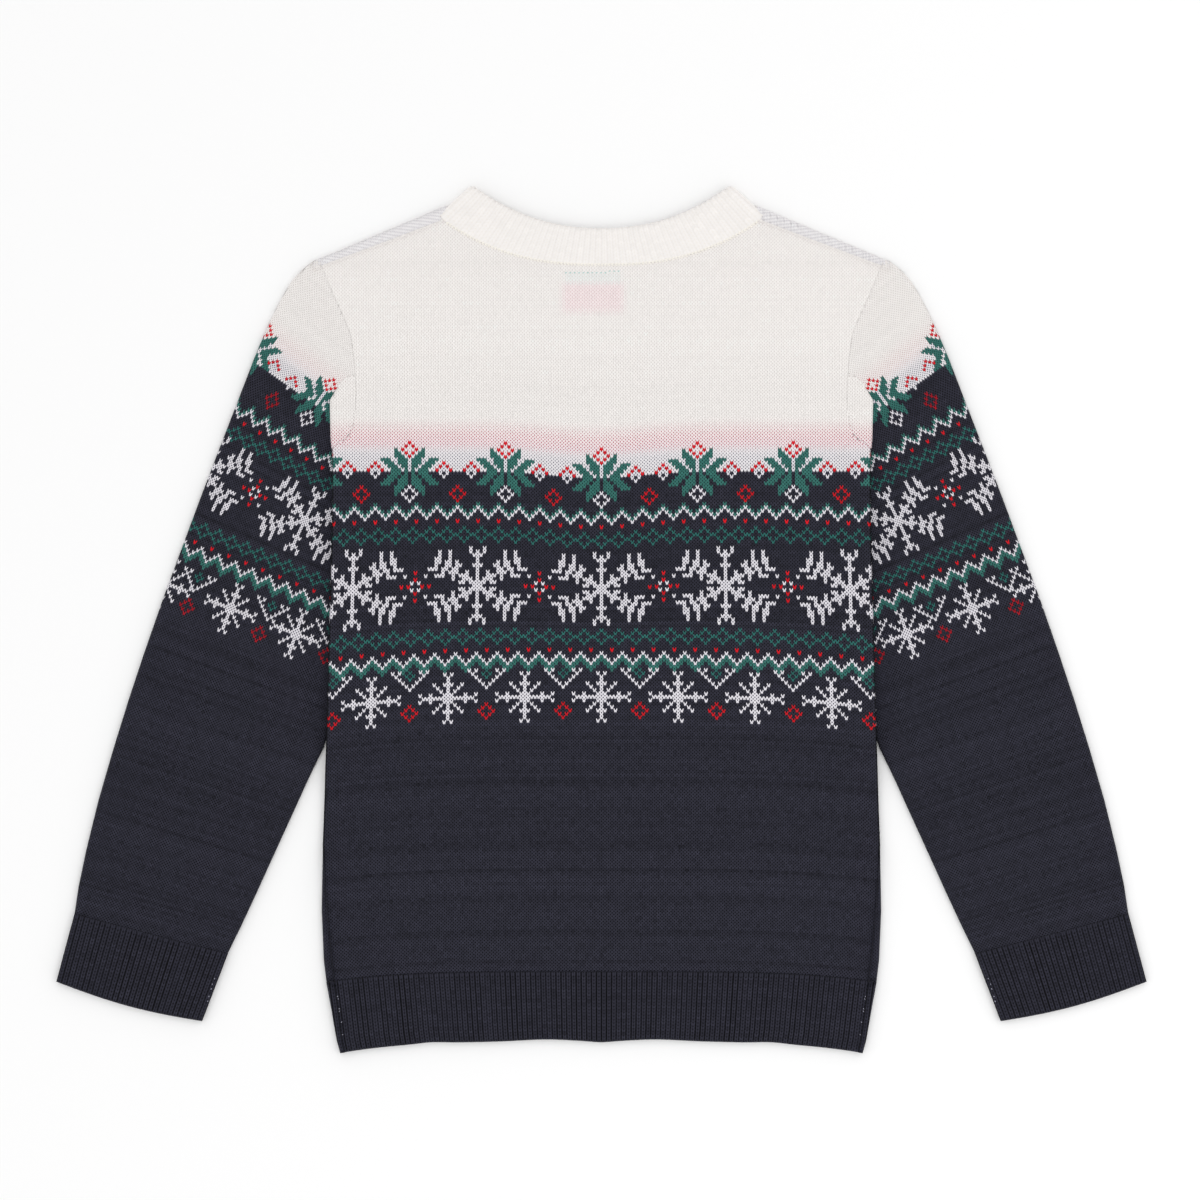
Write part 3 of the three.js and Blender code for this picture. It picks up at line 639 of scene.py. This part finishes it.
def frontPanel():
    # the body's grid on the table; margins past the side or shoulder fold go round it onto the back
    x, y, depth = bodyPlan(frontColumns)
    y = np.maximum(y, hemTop(x) - tuck)
    side = np.sign(x)
    out = np.abs(x)
    low = liftAt(x, y)
    high = backLevel(x, y)
    edge = np.where(y < underarmY, edgeOut(y), armOut(y) - seamHalf)
    turned = np.where(y < underarmY, turnedAt(y), 0)
    wrapped, z = wrapSide(out, edge, turned, low, high)
    above = y >= underarmY
    out = np.where(above, np.minimum(out, edge), wrapped)
    z = np.where(above, low, z)
    fold = lineThrough(foldNeck, foldShoulder, out)
    seam = lineThrough(neckPoint, shoulderPoint, out)
    shoulder = out > neckPoint[0] - 3.5
    radius = high / 2
    over = np.clip(y - (fold - radius), 0, np.pi * radius + np.maximum(0, fold - radius - seam + tuck))
    angle = np.minimum(over / radius, np.pi)
    foldedY = np.minimum(y, fold - radius) + radius * np.sin(angle) - np.maximum(0, over - np.pi * radius)
    foldedZ = z + radius * (1 - np.cos(angle))
    neck = frontNeckline(out) - seamHalf
    y = np.where(shoulder, foldedY, np.minimum(y, neck))
    z = np.where(shoulder & (over > 0), foldedZ, z)
    z = z - np.where(shoulder & (angle > 3.1), 0.7 * (1 - smooth(y - seam, -0.6, 0.9)), 0)
    z = z - np.where(shoulder & (angle > 1.6), 0.9 * (1 - smooth(out, neckPoint[0] - 3, neckPoint[0])), 0)
    onTop = (shoulder & (angle > 1.6)) | (~above & (z > (low + high) / 2 + 0.3))
    z = z + np.where(onTop, -depth, depth)
    intoHem = 0.3 * (1 - smooth(y - hemTop(out), -0.4, 1))
    z = z + np.where(onTop, -intoHem, intoHem)
    points = np.stack([side * out, y, z], -1)
    codes = bodyChart(columnNumbers(frontColumns))
    yarn, behindInShade = stitchColours(codes, np.arange(firstRow, firstRow + bodyRows))
    place = cellMiddles(points)
    folded = smooth(place[..., 2:3], 1, 3) * (place[..., 1:2] > shoulderPoint[1] - 3)
    yarn = yarn * (1 - folded * np.array([0.045, 0.035, 0.0]))
    behindInShade = behindInShade * (1 - folded * np.array([0.16, 0.14, 0.07]))
    return knitSheet(points, yarn, behindInShade, up=False)


frontPiece = addPiece("knitted_front", [frontPanel()], bodyYarn, ["front_panel"])


# Sleeves: rows run across at a slant, and the stitches stand square on them. The tables give the two
# edges from the shoulder to the cuff, and how rows slant and how wide the stitches are by row
outerOut = [176.2, 178.5, 182.2, 186.4, 191.3, 193.2, 199.2, 206.4, 215.5, 225.0, 236.8, 248.9, 260.4, 271.9,
            282.7, 293.0, 302.6, 311.6, 319.2, 323.9, 326.4, 327.5]
outerY = [223.2, 222.3, 219.6, 216.0, 210.8, 208.0, 197.5, 183.0, 161.2, 136.4, 106.0, 74.4, 43.4, 12.4,
          -18.6, -49.6, -80.6, -111.6, -142.6, -165.0, -181.7, -185.9]
innerOut = [177.5, 171.6, 168.4, 165.2, 159.5, 155.1, 153.4, 152.5, 151.9, 152.9, 155.6, 160.7, 163.8, 163.4,
            162.6, 161.8, 160.2, 158.8, 158.0, 158.4, 160.6, 165.2, 172.2, 181.8, 192.2, 203.2, 213.8, 223.6,
            231.4, 233.0]
innerY = [222.2, 219.4, 210.2, 200.9, 187.6, 176.3, 164.1, 151.3, 137.0, 125.0, 114.7, 110.6, 109.8, 107.0,
          98.0, 87.0, 71.0, 50.0, 24.0, -4.0, -32.0, -58.0, -79.0, -99.0, -122.0, -146.0, -169.4, -190.4,
          -206.3, -210.5]
sleeveFirst = -36
sleeveLast = 168
slant = {
    "row": [-36, -34, 0, 12, 55, 166, 168],
    "degrees": [38, 38, 35.2, 29.8, 22.0, 14.6, 14.6],
    "outerY": [223.2, 222.3, 161.2, 131.4, 46.5, -181.7, -185.9],
}
sleeveMiddle = {"row": 55, "place": (215.6, 28.8)}
sleeveStitch = {"row": [-36, 14, 52, 66, 110, 168], "width": [1.84, 1.84, 1.89, 1.97, 2.1, 2.12]}


def sleeveLines():
    # for each quarter row: a point on it that all the columns are counted from, its direction, and how
    # far along it the sleeve's two edges lie
    row = np.arange(sleeveFirst, sleeveLast + 1.01, 0.25)
    angle = np.radians(np.interp(row, slant["row"], slant["degrees"]))
    ahead = np.stack([np.cos(angle), np.sin(angle)], -1)
    down = np.stack([np.sin(angle), -np.cos(angle)], -1)
    endY = np.interp(row, slant["row"], slant["outerY"])
    end = np.stack([np.interp(endY, outerY[::-1], outerOut[::-1]), endY], -1)
    spine = np.zeros_like(end)
    middle = int(np.argmin(np.abs(row - sleeveMiddle["row"])))
    spine[middle] = sleeveMiddle["place"]
    for order in (range(middle + 1, len(row)), range(middle - 1, -1, -1)):
        for k in order:
            last = spine[k - 1] if k > middle else spine[k + 1]
            step = (end[k] - last) @ down[k]
            spine[k] = last + step * down[k]
    inner = np.stack([innerOut, innerY], -1)
    apart = np.einsum("kij,kj->ki", inner[None] - spine[:, None], down)
    along = np.einsum("kij,kj->ki", inner[None] - spine[:, None], ahead)
    crossing = np.clip(np.argmax(apart >= 0, axis=1), 1, len(inner) - 1)
    k = np.arange(len(row))
    before, after = apart[k, crossing - 1], apart[k, crossing]
    t = np.clip(before / (before - after + 1e-9), 0, 1)
    inside = along[k, crossing - 1] * (1 - t) + along[k, crossing] * t
    inside = inside - tuck * (crossing < 12)  # runs on under the body at the armhole
    outside = np.einsum("ij,ij->i", end - spine, ahead)
    return row, spine, ahead, np.minimum(inside, outside), outside


def sleeveGrid():
    # each point lies on its row's line, so many stitch widths along it, clamped to the edges
    lineRow, spine, ahead, inside, outside = sleeveLines()
    narrowest = min(sleeveStitch["width"])
    firstColumn = math.floor(inside.min() / narrowest)
    columnCount = math.ceil(outside.max() / narrowest) - firstColumn
    row, column, depth = stitchGrid(sleeveLast - sleeveFirst, columnCount)
    row = np.minimum(row + sleeveFirst, sleeveLast)
    at = np.clip(np.rint((row - sleeveFirst) * 4).astype(int), 0, len(lineRow) - 1) + 0 * column.astype(int)
    along = (column + firstColumn) * np.interp(row, sleeveStitch["row"], sleeveStitch["width"])
    along = np.clip(along, inside[at], outside[at])
    plan = spine[at] + along[..., None] * ahead[at]
    share = (outside[at] - along) / np.maximum(outside[at] - inside[at], 1)
    return plan, row, depth, share, outside[at] - along, along - inside[at], firstColumn, columnCount


def sleeveSheets():
    # the laid sleeve's layers: a low arch on top, a flat underside, both rounded at the edges
    plan, rowOf, depth, share, fromOuter, fromInner, firstColumn, columnCount = sleeveGrid()
    x, y = plan[..., 0], plan[..., 1]
    alongSleeve = (1 - smooth(y, 160, 216)) * (1 - 0.7 * smooth(-y, 100, 180))
    crown = 1.5 * np.sin(np.pi * np.clip(share, 0, 1)) * alongSleeve * smooth(x, 172, 190)
    pressed = (1 - smooth(x - edgeOut(y), 2, 15)) * smooth(y, -112, -84) * (1 - smooth(y, 100, 116))
    crown = crown * (1 - pressed) - 1.1 * pressed  # the body lies on it there
    innerDrop = np.where(y > 110, 0.4, 1.7)
    flatter = np.where(y > 110, smooth(fromInner, 0.8, 4), 1)
    cuffDrop = roundOff((sleeveLast - rowOf) * stitchHeight, 6, 0.7)
    outerRound = roundOff(fromOuter, 1.9, 1.7)
    rounding = outerRound + roundOff(fromInner, np.where(y > 110, 2 * tuck, 2.1), innerDrop)
    lowZ = outerRound + roundOff(fromInner, 1.9, 1.4) + depth + cuffDrop
    topPoints = np.stack([x, y, 3.4 + crown - rounding - depth * flatter - cuffDrop], -1)
    lowPoints = np.stack([x, y, lowZ], -1)
    rows = np.arange(sleeveFirst, sleeveLast)
    columns = np.arange(firstColumn, firstColumn + columnCount)
    codes = bandChart(sleeveFirst, len(rows), columns)
    place = cellMiddles(topPoints)

    for motif, places in sleeveMotifs:
        for atX, atY, further in places:
            # at the stitch nearest to the place, or so many stitches further out
            away = np.hypot(place[..., 0] - atX, place[..., 1] - atY)
            row, column = np.unravel_index(np.argmin(away), away.shape)
            stamp(codes, motif, int(row), int(column) + further)
    yarn, behindInShade = stitchColours(codes, rows, 0.95, 0.35)
    top = knitSheet(topPoints, yarn, behindInShade, rim=0)
    low = knitSheet(lowPoints, yarn, behindInShade, up=False, rim=0)
    return [top, low, foldStrip()]


def foldStrip():
    # the sleeve's cloth that folds over at the underarm, level with the body beside it
    row, column, depth = stitchGrid(24, 10)
    y = np.maximum(153 - stitchHeight * row, 106.4)
    inner = np.minimum(armOut(y), armOut(y + 1.6)) - tuck
    outer = np.interp(y, [109, 112, 136, 150, 153], [167.2, 167.6, 168.2, 160, 153])
    x = np.clip(149 + column * stitchWidth, inner, np.maximum(inner, outer))
    lift = liftAt(x, y)
    z = 3.45 + lift + 0.45 * smooth(lift, 0, 1) - depth
    drop = np.minimum(1.9, lift / 2 + 0.2)
    z = z - roundOff(outer - x, drop + 0.3, drop)
    z = z - roundOff(x - inner, 2 * tuck, 0.4) - roundOff(y - 106.4, 2 * tuck, 0.4)
    rows = np.floor((yokeEdgeY - 153) / stitchHeight + np.arange(24)).astype(int)
    codes = np.full((24, 10), ivory)
    yarn, behindInShade = stitchColours(codes, rows)
    points = np.stack([x, y, z], -1)
    return knitSheet(points, yarn, behindInShade, rim=2.6)


# place on the sleeve, and how many stitches further out the motif's middle lies
sleeveMotifs = [
    (flower, [(174.5, 135.8, 0), (215.1, 167.4, 0)]),
    (boundaryDiamond, [(201.8, 157.5, 0), (191.3, 148.2, 0)]),
    ({dimRed: diamond}, [(203.1, 137.0, 0), (256.4, 8.7, 0), (212.0, -7.8, 0), (171.0, -22.1, 0)]),
    (snowflake, [(214.2, 78.7, 18), (183.2, 62.0, 0)]),
    (cross, [(214.2, 78.7, 0)]),
    (star, [(229.7, 8.7, 22), (229.7, 8.7, 0), (188.2, -7.8, 0)]),
    (chevron, [(247.3, 28.7, 0), (203.7, 11.3, 0), (166.5, -2.5, 0)]),
]
sleeveParts = sleeveSheets()
for side, parts in (("right", sleeveParts), ("left", [mirrorSheet(part) for part in sleeveParts])):
    name = f"knitted_{side}_sleeve"
    addPiece(name, parts, bodyYarn, [f"{side}_sleeve"])


# Ribs: five points across each, from furrow to furrow over the two legs of a stitch
ribAcross = np.array([0, 0.17, 0.5, 0.83])
ribHeightAt = np.array([0, 1, 0.7, 1])
ribLegAt = np.array([0, 0.4, 1, 1.6])
ribDropAt = np.array([0, 0.15, 0.6, 0.15])
ribHeight = 0.6


def ribGrid(ribs, rows):
    # share across, share down, relief and leg number of each point
    across = np.append((np.arange(ribs)[:, None] + ribAcross).ravel(), ribs) / ribs
    relief = np.append(np.tile(ribHeightAt, ribs), 0)
    legs = np.append((2 * np.arange(ribs)[:, None] + ribLegAt).ravel(), 2 * ribs)
    lower = np.append(np.tile(ribDropAt, ribs), 0)
    down = np.clip((np.arange(rows + 1)[:, None] + lower[None, :]) / rows, 0, 1)
    down[0] = 0
    return across[None, :] + 0 * down, down, relief[None, :] + 0 * down, legs


def ribColours(code, rows, ribs, tone=0.95, shade=0.42):
    uneven = unevenness[code]
    even = 1 + uneven * (0.3 * rng.standard_normal((rows, 1, 1)) + rng.standard_normal((rows, ribs, 1)))
    # painted shade: each rib's furrow is darkened to shade, unevenly from rib to rib, in yarn and gap alike
    deep = np.clip(shade + (1 - shade) * 0.3 * rng.standard_normal(ribs), 0.2, 1)
    furrowShade = np.stack([deep, np.ones(ribs), np.ones(ribs), deep], -1).reshape(1, -1, 1)
    yarn = np.repeat(legColour[code] * even * tone, 4, axis=1) * furrowShade
    behindInShade = np.broadcast_to((bandGapShade if code == ivory else gapShadeColour[code]) * tone, yarn.shape) * furrowShade
    return np.clip(yarn, 0, 1), behindInShade


hem = {
    "backRibs": 106, "frontRibs": 112, "rows": 21,
    "rim": 1.5, "endRadius": 1.3, "endDrop": 0.8, "sideDrop": 0.9,
}


def hemSheet(ribs, back):
    # ribs across between the two edges, rows down between seam and end; the front's ribs go on round the
    # side folds onto the back, and the relief stands on the outside of each layer
    rows = hem["rows"]
    across, down, relief, legs = ribGrid(ribs, rows)
    u = across * 2 - 1
    y0 = hemTop(166.0) + (hemEnd(162.0) - hemTop(166.0)) * down
    edge = edgeOut(y0)
    turned = turnedAt(y0)
    if back:
        x = u * (edge - turned + tuck)
        y = hemTop(x) - seamHalf + (hemEnd(x) - hemTop(x) + seamHalf) * down
        limit = edge - turned + tuck
        z = backLevel(x, y) + relief * ribHeight
        z = z - roundOff(limit - np.abs(x), 2 * tuck, hem["sideDrop"])
        z = z - roundOff(y - hemEnd(x), hem["endRadius"], hem["endDrop"])
    else:
        high = backLevel(166.0, y0)
        radius = high / 2
        reach = edge + (np.pi - 1) * radius + turned - radius
        out, z = wrapSide(np.abs(u) * reach, edge, turned, 0 * y0, high)
        x = np.sign(u) * out
        y = hemTop(x) - seamHalf + (hemEnd(x) - hemTop(x) + seamHalf) * down
        ridge = relief * ribHeight
        onTop = z > high / 2
        endRound = roundOff(y - hemEnd(x), hem["endRadius"], hem["endDrop"])
        z = np.where(onTop, z + ridge * smooth(z, high / 2, high) - endRound, z + ribHeight - ridge)
    yarn, behindInShade = ribColours(navy, rows, ribs)
    return makeSheet(np.stack([x, y, z], -1), yarn, behindInShade, legs, up=back, rim=hem["rim"])


backHemSheet = hemSheet(hem["backRibs"], True)
backHem = addPiece("ribbed_back_hem", [backHemSheet], navyYarn, ["back_hem_rib"])
frontHemSheet = hemSheet(hem["frontRibs"], False)
frontHem = addPiece("ribbed_front_hem", [frontHemSheet], navyYarn, ["front_hem_rib"])


cuff = {
    "ribs": 29, "rows": 21, "length": 43.0, "seamWidth": 98.1, "endWidth": 93.4, "top": 3.4, "endBow": 3,
    "edgeDrop": 1.7, "lowDrop": 1.5, "endDrop": 0.7, "tone": 0.89, "rim": 1.4, "lowRim": 1.0,
    "start": {"outer": (326.4, -181.7), "inner": (231.4, -206.3)},
    "stop": {"outer": (337.6, -224.0), "inner": (247.4, -248.4)},
}


def cuffSheets():
    # two layers between four corners: ribs from the inner to the outer edge, rows from the seam to the end
    ribs, rows = cuff["ribs"], cuff["rows"]
    across, down, relief, legs = ribGrid(ribs, rows)
    t = 1 - across  # the columns run outwards, as on the sleeve
    start, stop = cuff["start"], cuff["stop"]

    def mix(axis, gap):
        a = start["outer"][axis] + (start["inner"][axis] - start["outer"][axis]) * t - gap
        b = stop["outer"][axis] + (stop["inner"][axis] - stop["outer"][axis]) * t
        return a + (b - a) * down

    x = mix(0, 0)
    y = mix(1, 2 * seamHalf) - cuff["endBow"] * np.sin(np.pi * t) * down
    width = np.interp(down, [0, 1], [cuff["seamWidth"], cuff["endWidth"]])
    edge = np.minimum(t, across) * width
    ends = roundOff((1 - down) * cuff["length"], 1.3, cuff["endDrop"])
    top = cuff["top"] + relief * ribHeight - roundOff(edge, 1.9, cuff["edgeDrop"]) - ends
    low = np.maximum(0, ribHeight * (1 - relief)) + roundOff(edge, 1.9, cuff["lowDrop"]) + ends * 0.6
    yarn, behindInShade = ribColours(navy, rows, ribs, cuff["tone"])
    return [
        makeSheet(np.stack([x, y, top], -1), yarn, behindInShade, legs, rim=cuff["rim"]),
        makeSheet(np.stack([x, y, low], -1), yarn, behindInShade, legs, up=False, rim=cuff["lowRim"]),
    ]


cuffParts = cuffSheets()
rightCuff = addPiece("ribbed_right_cuff", cuffParts, navyYarn, ["right_cuff"])
leftParts = [mirrorSheet(part) for part in cuffParts]
leftCuff = addPiece("ribbed_left_cuff", leftParts, navyYarn, ["left_cuff"])


# Neck band: a folded ring, ribbed outside and in, with its upper edge rolled over
band = {
    "half": 1.2, "lowZ": 1.2, "topZ": 4.2, "backRibs": 50, "turnRibs": 2, "frontRibs": 52,
    "outerRows": 11, "rollRows": 2, "seamOut": 102.2, "topOut": 81.5, "seamY": 255.2, "pointY": 268.5,
    "backY": 242.7, "frontY": 205, "relief": 0.18, "tone": 0.95, "shade": 0.985,
}


def neckBand():
    # the ring runs along the back, round a half turn, back along the front and round another half turn;
    # its rows go up the outside, over the rolled edge and down the inside
    half, lowZ, topZ = band["half"], band["lowZ"], band["topZ"]
    radius = (topZ - lowZ) / 2
    backRibs, turnRibs, frontRibs = band["backRibs"], band["turnRibs"], band["frontRibs"]
    ribs = backRibs + frontRibs + 2 * turnRibs
    outerRows, rollRows = band["outerRows"], band["rollRows"]
    rows = 2 * outerRows + rollRows
    across, down, relief, legs = ribGrid(ribs, rows)
    ring = across * ribs
    lengthDown = down * rows
    roll = np.clip((lengthDown - outerRows) / rollRows, 0, 1) * np.pi
    r = np.where(lengthDown < outerRows, lengthDown / outerRows, (rows - lengthDown) / outerRows)
    r = np.clip(r, 0, 1) * 0.95 + 0.05 * np.sin(roll) * (roll > 0)
    offset = half * np.cos(roll)
    seamOut = band["seamOut"]
    sideOutAt = seamOut + (band["topOut"] - seamOut) * r
    reach = sideOutAt - (half + radius)
    seamReach = seamOut - (half + radius)
    # place round the ring: back half left to right, turn, front half right to left, turn
    backPart = np.clip(ring / backRibs, 0, 1)
    firstTurn = np.clip((ring - backRibs) / turnRibs, 0, 1)
    frontPart = np.clip((ring - backRibs - turnRibs) / frontRibs, 0, 1)
    lastTurn = np.clip((ring - backRibs - turnRibs - frontRibs) / turnRibs, 0, 1)
    frontSign = np.where(ring < ribs - turnRibs, 1 - frontPart * 2, -1)
    sign = np.where(ring < backRibs, backPart * 2 - 1, frontSign)
    angle = np.where(ring <= ribs - turnRibs, firstTurn * np.pi, np.pi * (1 - lastTurn))
    share = np.abs(sign)

    def yAt(line, endPoint, topY, power):
        out = share * seamReach
        past = np.maximum(0, out - endPoint[0]) / (seamOut - endPoint[0])
        seam = line(np.minimum(out, endPoint[0])) - 0.3 + past * (band["seamY"] - endPoint[1])
        return seam + (topY + (band["pointY"] - topY) * share ** power - seam) * r

    backY = yAt(backNeckline, neckPoint, band["backY"], 2.2)
    frontY = yAt(frontNeckline, foldNeck, band["frontY"], 1.9)
    y = backY + (frontY - backY) * (1 - np.cos(angle)) / 2
    outwards = np.where(roll < 1.6, 1, -1)
    ridge = band["relief"] * (1 - (1 - relief) * smooth(r, 0.01, 0.12)) * outwards
    lift = offset + ridge * np.abs(np.cos(roll)) - 0.3 * (np.cos(angle) < -0.5) * np.sign(offset)
    x = sign * reach + np.sign(sign) * (radius + lift) * np.sin(angle)
    z = (topZ + lowZ) / 2 + radius * np.cos(angle) + lift * np.cos(angle)
    z = np.maximum(z, 0)
    yarn, behindInShade = ribColours(ivory, rows, ribs, band["tone"], band["shade"])
    points = np.stack([x, y, z], -1)[::-1]
    return makeSheet(points, yarn[::-1], behindInShade[::-1], legs, up=False, rim=0)


neckPiece = addPiece("ribbed_neck_band", [neckBand()], ivoryYarn, ["neck_band"])


# Small stitches of thread, each a bead of yarn drawn out along its own direction
def beadSheet(middles, directions, length, radius, colour):
    # five rings to a bead, pointed at both ends; the strip between two beads has no area
    turn = np.linspace(0, 2 * np.pi, 9)[None, None, :, None]
    part = np.linspace(0, np.pi, 5)[None, :, None, None]
    axis = directions / np.linalg.norm(directions, axis=1, keepdims=True)
    side = np.cross(axis, [0, 0, 1.0])
    side = side / np.linalg.norm(side, axis=1, keepdims=True)
    over = np.cross(axis, side)
    axis, side, over = (v[:, None, None, :] for v in (axis, side, over))
    ring = radius * np.sin(part) * (np.cos(turn) * side + np.sin(turn) * over)
    points = middles[:, None, None, :] - length / 2 * np.cos(part) * axis + ring
    points = points.reshape(-1, 9, 3)
    shape = (points.shape[0] - 1, 8, 3)
    yarn = np.broadcast_to(colour, shape)
    return makeSheet(points, yarn, yarn, np.full(9, 0.5), rim=0)


def chainAlong(x, y, z, step, spread):
    # the two legs of each link of a chain stitch along a line: their middles and directions
    path = np.stack([x, y, z], -1)
    run = np.append(0, np.cumsum(np.linalg.norm(np.diff(path, axis=0), axis=1)))
    at = np.arange(step, run[-1] - step / 2, step)
    place = np.stack([np.interp(at, run, path[:, k]) for k in range(3)], -1)
    ahead = np.stack([np.interp(at + 0.1, run, path[:, k]) for k in range(3)], -1) - place
    ahead = ahead / np.linalg.norm(ahead, axis=1, keepdims=True)
    aside = np.cross(ahead, [0, 0, 1.0])
    middles = np.concatenate([place + aside * spread, place - aside * spread])
    return middles, np.concatenate([ahead + aside * 0.5, ahead - aside * 0.5])


chain = {"half": 97, "step": 2.1, "spread": 0.42, "length": 2.0, "radius": 0.42, "colour": (252, 248, 240)}
chainX = np.linspace(-chain["half"], chain["half"], 400)
chainY = backNeckline(chainX)
chainLinks = chainAlong(chainX, chainY - 0.2, backLevel(chainX, chainY) + 0.1, chain["step"], chain["spread"])
chainBeads = beadSheet(*chainLinks, chain["length"], chain["radius"], linear(*chain["colour"]))
neckChain = addPiece("neck_chain_stitch", [chainBeads], ivoryYarn, [])

teal = {"count": 13, "length": 1.3, "radius": 0.28, "colour": (150, 206, 200)}
tealX = np.linspace(-22, 10.6, teal["count"])
tealY = 214.8 + np.where(tealX > 4, 1.1, 0)
tealMiddles = np.stack([tealX, tealY, backLevel(tealX, tealY) - 0.12], -1)
tealWay = np.tile([1.0, 0.1, 0], (teal["count"], 1))
tealBeads = beadSheet(tealMiddles, tealWay, teal["length"], teal["radius"], linear(*teal["colour"]))
labelStitches = addPiece("label_stitches", [tealBeads], bodyYarn, [])


pale = {
    "hem": [(163.4, -233.0), (163.0, -234.6), (162.3, -240.6), (162.2, -242.2), (160.9, -248.9),
            (160.2, -256.6)],
    "cuff": [(239.5, -222.0), (240.9, -225.4), (241.6, -228.4), (243.0, -233.0), (243.7, -236.0)],
    "overHem": 0.45, "cuffZ": 3.75, "length": 1.1, "radius": 0.26, "colour": (180, 180, 196),
}


def seamStitches():
    # short pale stitches that show in the seams beside the folded edges, at the hem and at the cuffs
    placed = [(x, y, float(backLevel(x, y)) + pale["overHem"]) for x, y in pale["hem"]]
    placed += [(x, y, pale["cuffZ"]) for x, y in pale["cuff"]]
    middles = np.array(placed)
    middles = np.concatenate([middles, middles * np.array([-1, 1, 1])])
    way = np.tile([0.5, -0.6, 0.0], (len(placed), 1))
    way = np.concatenate([way, way * np.array([-1, 1, 1])])
    return beadSheet(middles, way, pale["length"], pale["radius"], linear(*pale["colour"]))


seamPiece = addPiece("seam_stitches", [seamStitches()], navyYarn, [])


label = {
    "half": 17, "topY": 214.6, "endY": 190.6, "z": 3.7, "rows": 24, "columns": 34, "uneven": 0.04,
    "colour": (200, 70, 84), "gapShade": 0.7, "rim": 1.0,
}


def labelSheet():
    # blank woven rectangle, a fine plain surface with rounded edges
    half, topY, endY = label["half"], label["topY"], label["endY"]
    rows, columns = label["rows"], label["columns"]
    x, y = np.meshgrid(np.linspace(-half, half, columns + 1), np.linspace(topY, endY, rows + 1))
    edge = np.minimum(half - np.abs(x), np.minimum(topY - y, y - endY))
    z = label["z"] - roundOff(edge, 0.8, 0.5)
    weave = 1 + label["uneven"] * rng.standard_normal((rows, columns, 1))
    yarn = np.broadcast_to(linear(*label["colour"]), (rows, columns, 3)) * weave
    points = np.stack([x, y, z], -1)
    # the weave's gaps are painted shade, a darker copy of the label's red
    return makeSheet(points, yarn, yarn * label["gapShade"], np.arange(columns + 1.0), rim=label["rim"])


labelPiece = addPiece("woven_label", [labelSheet()], bodyYarn, ["neck_label"])
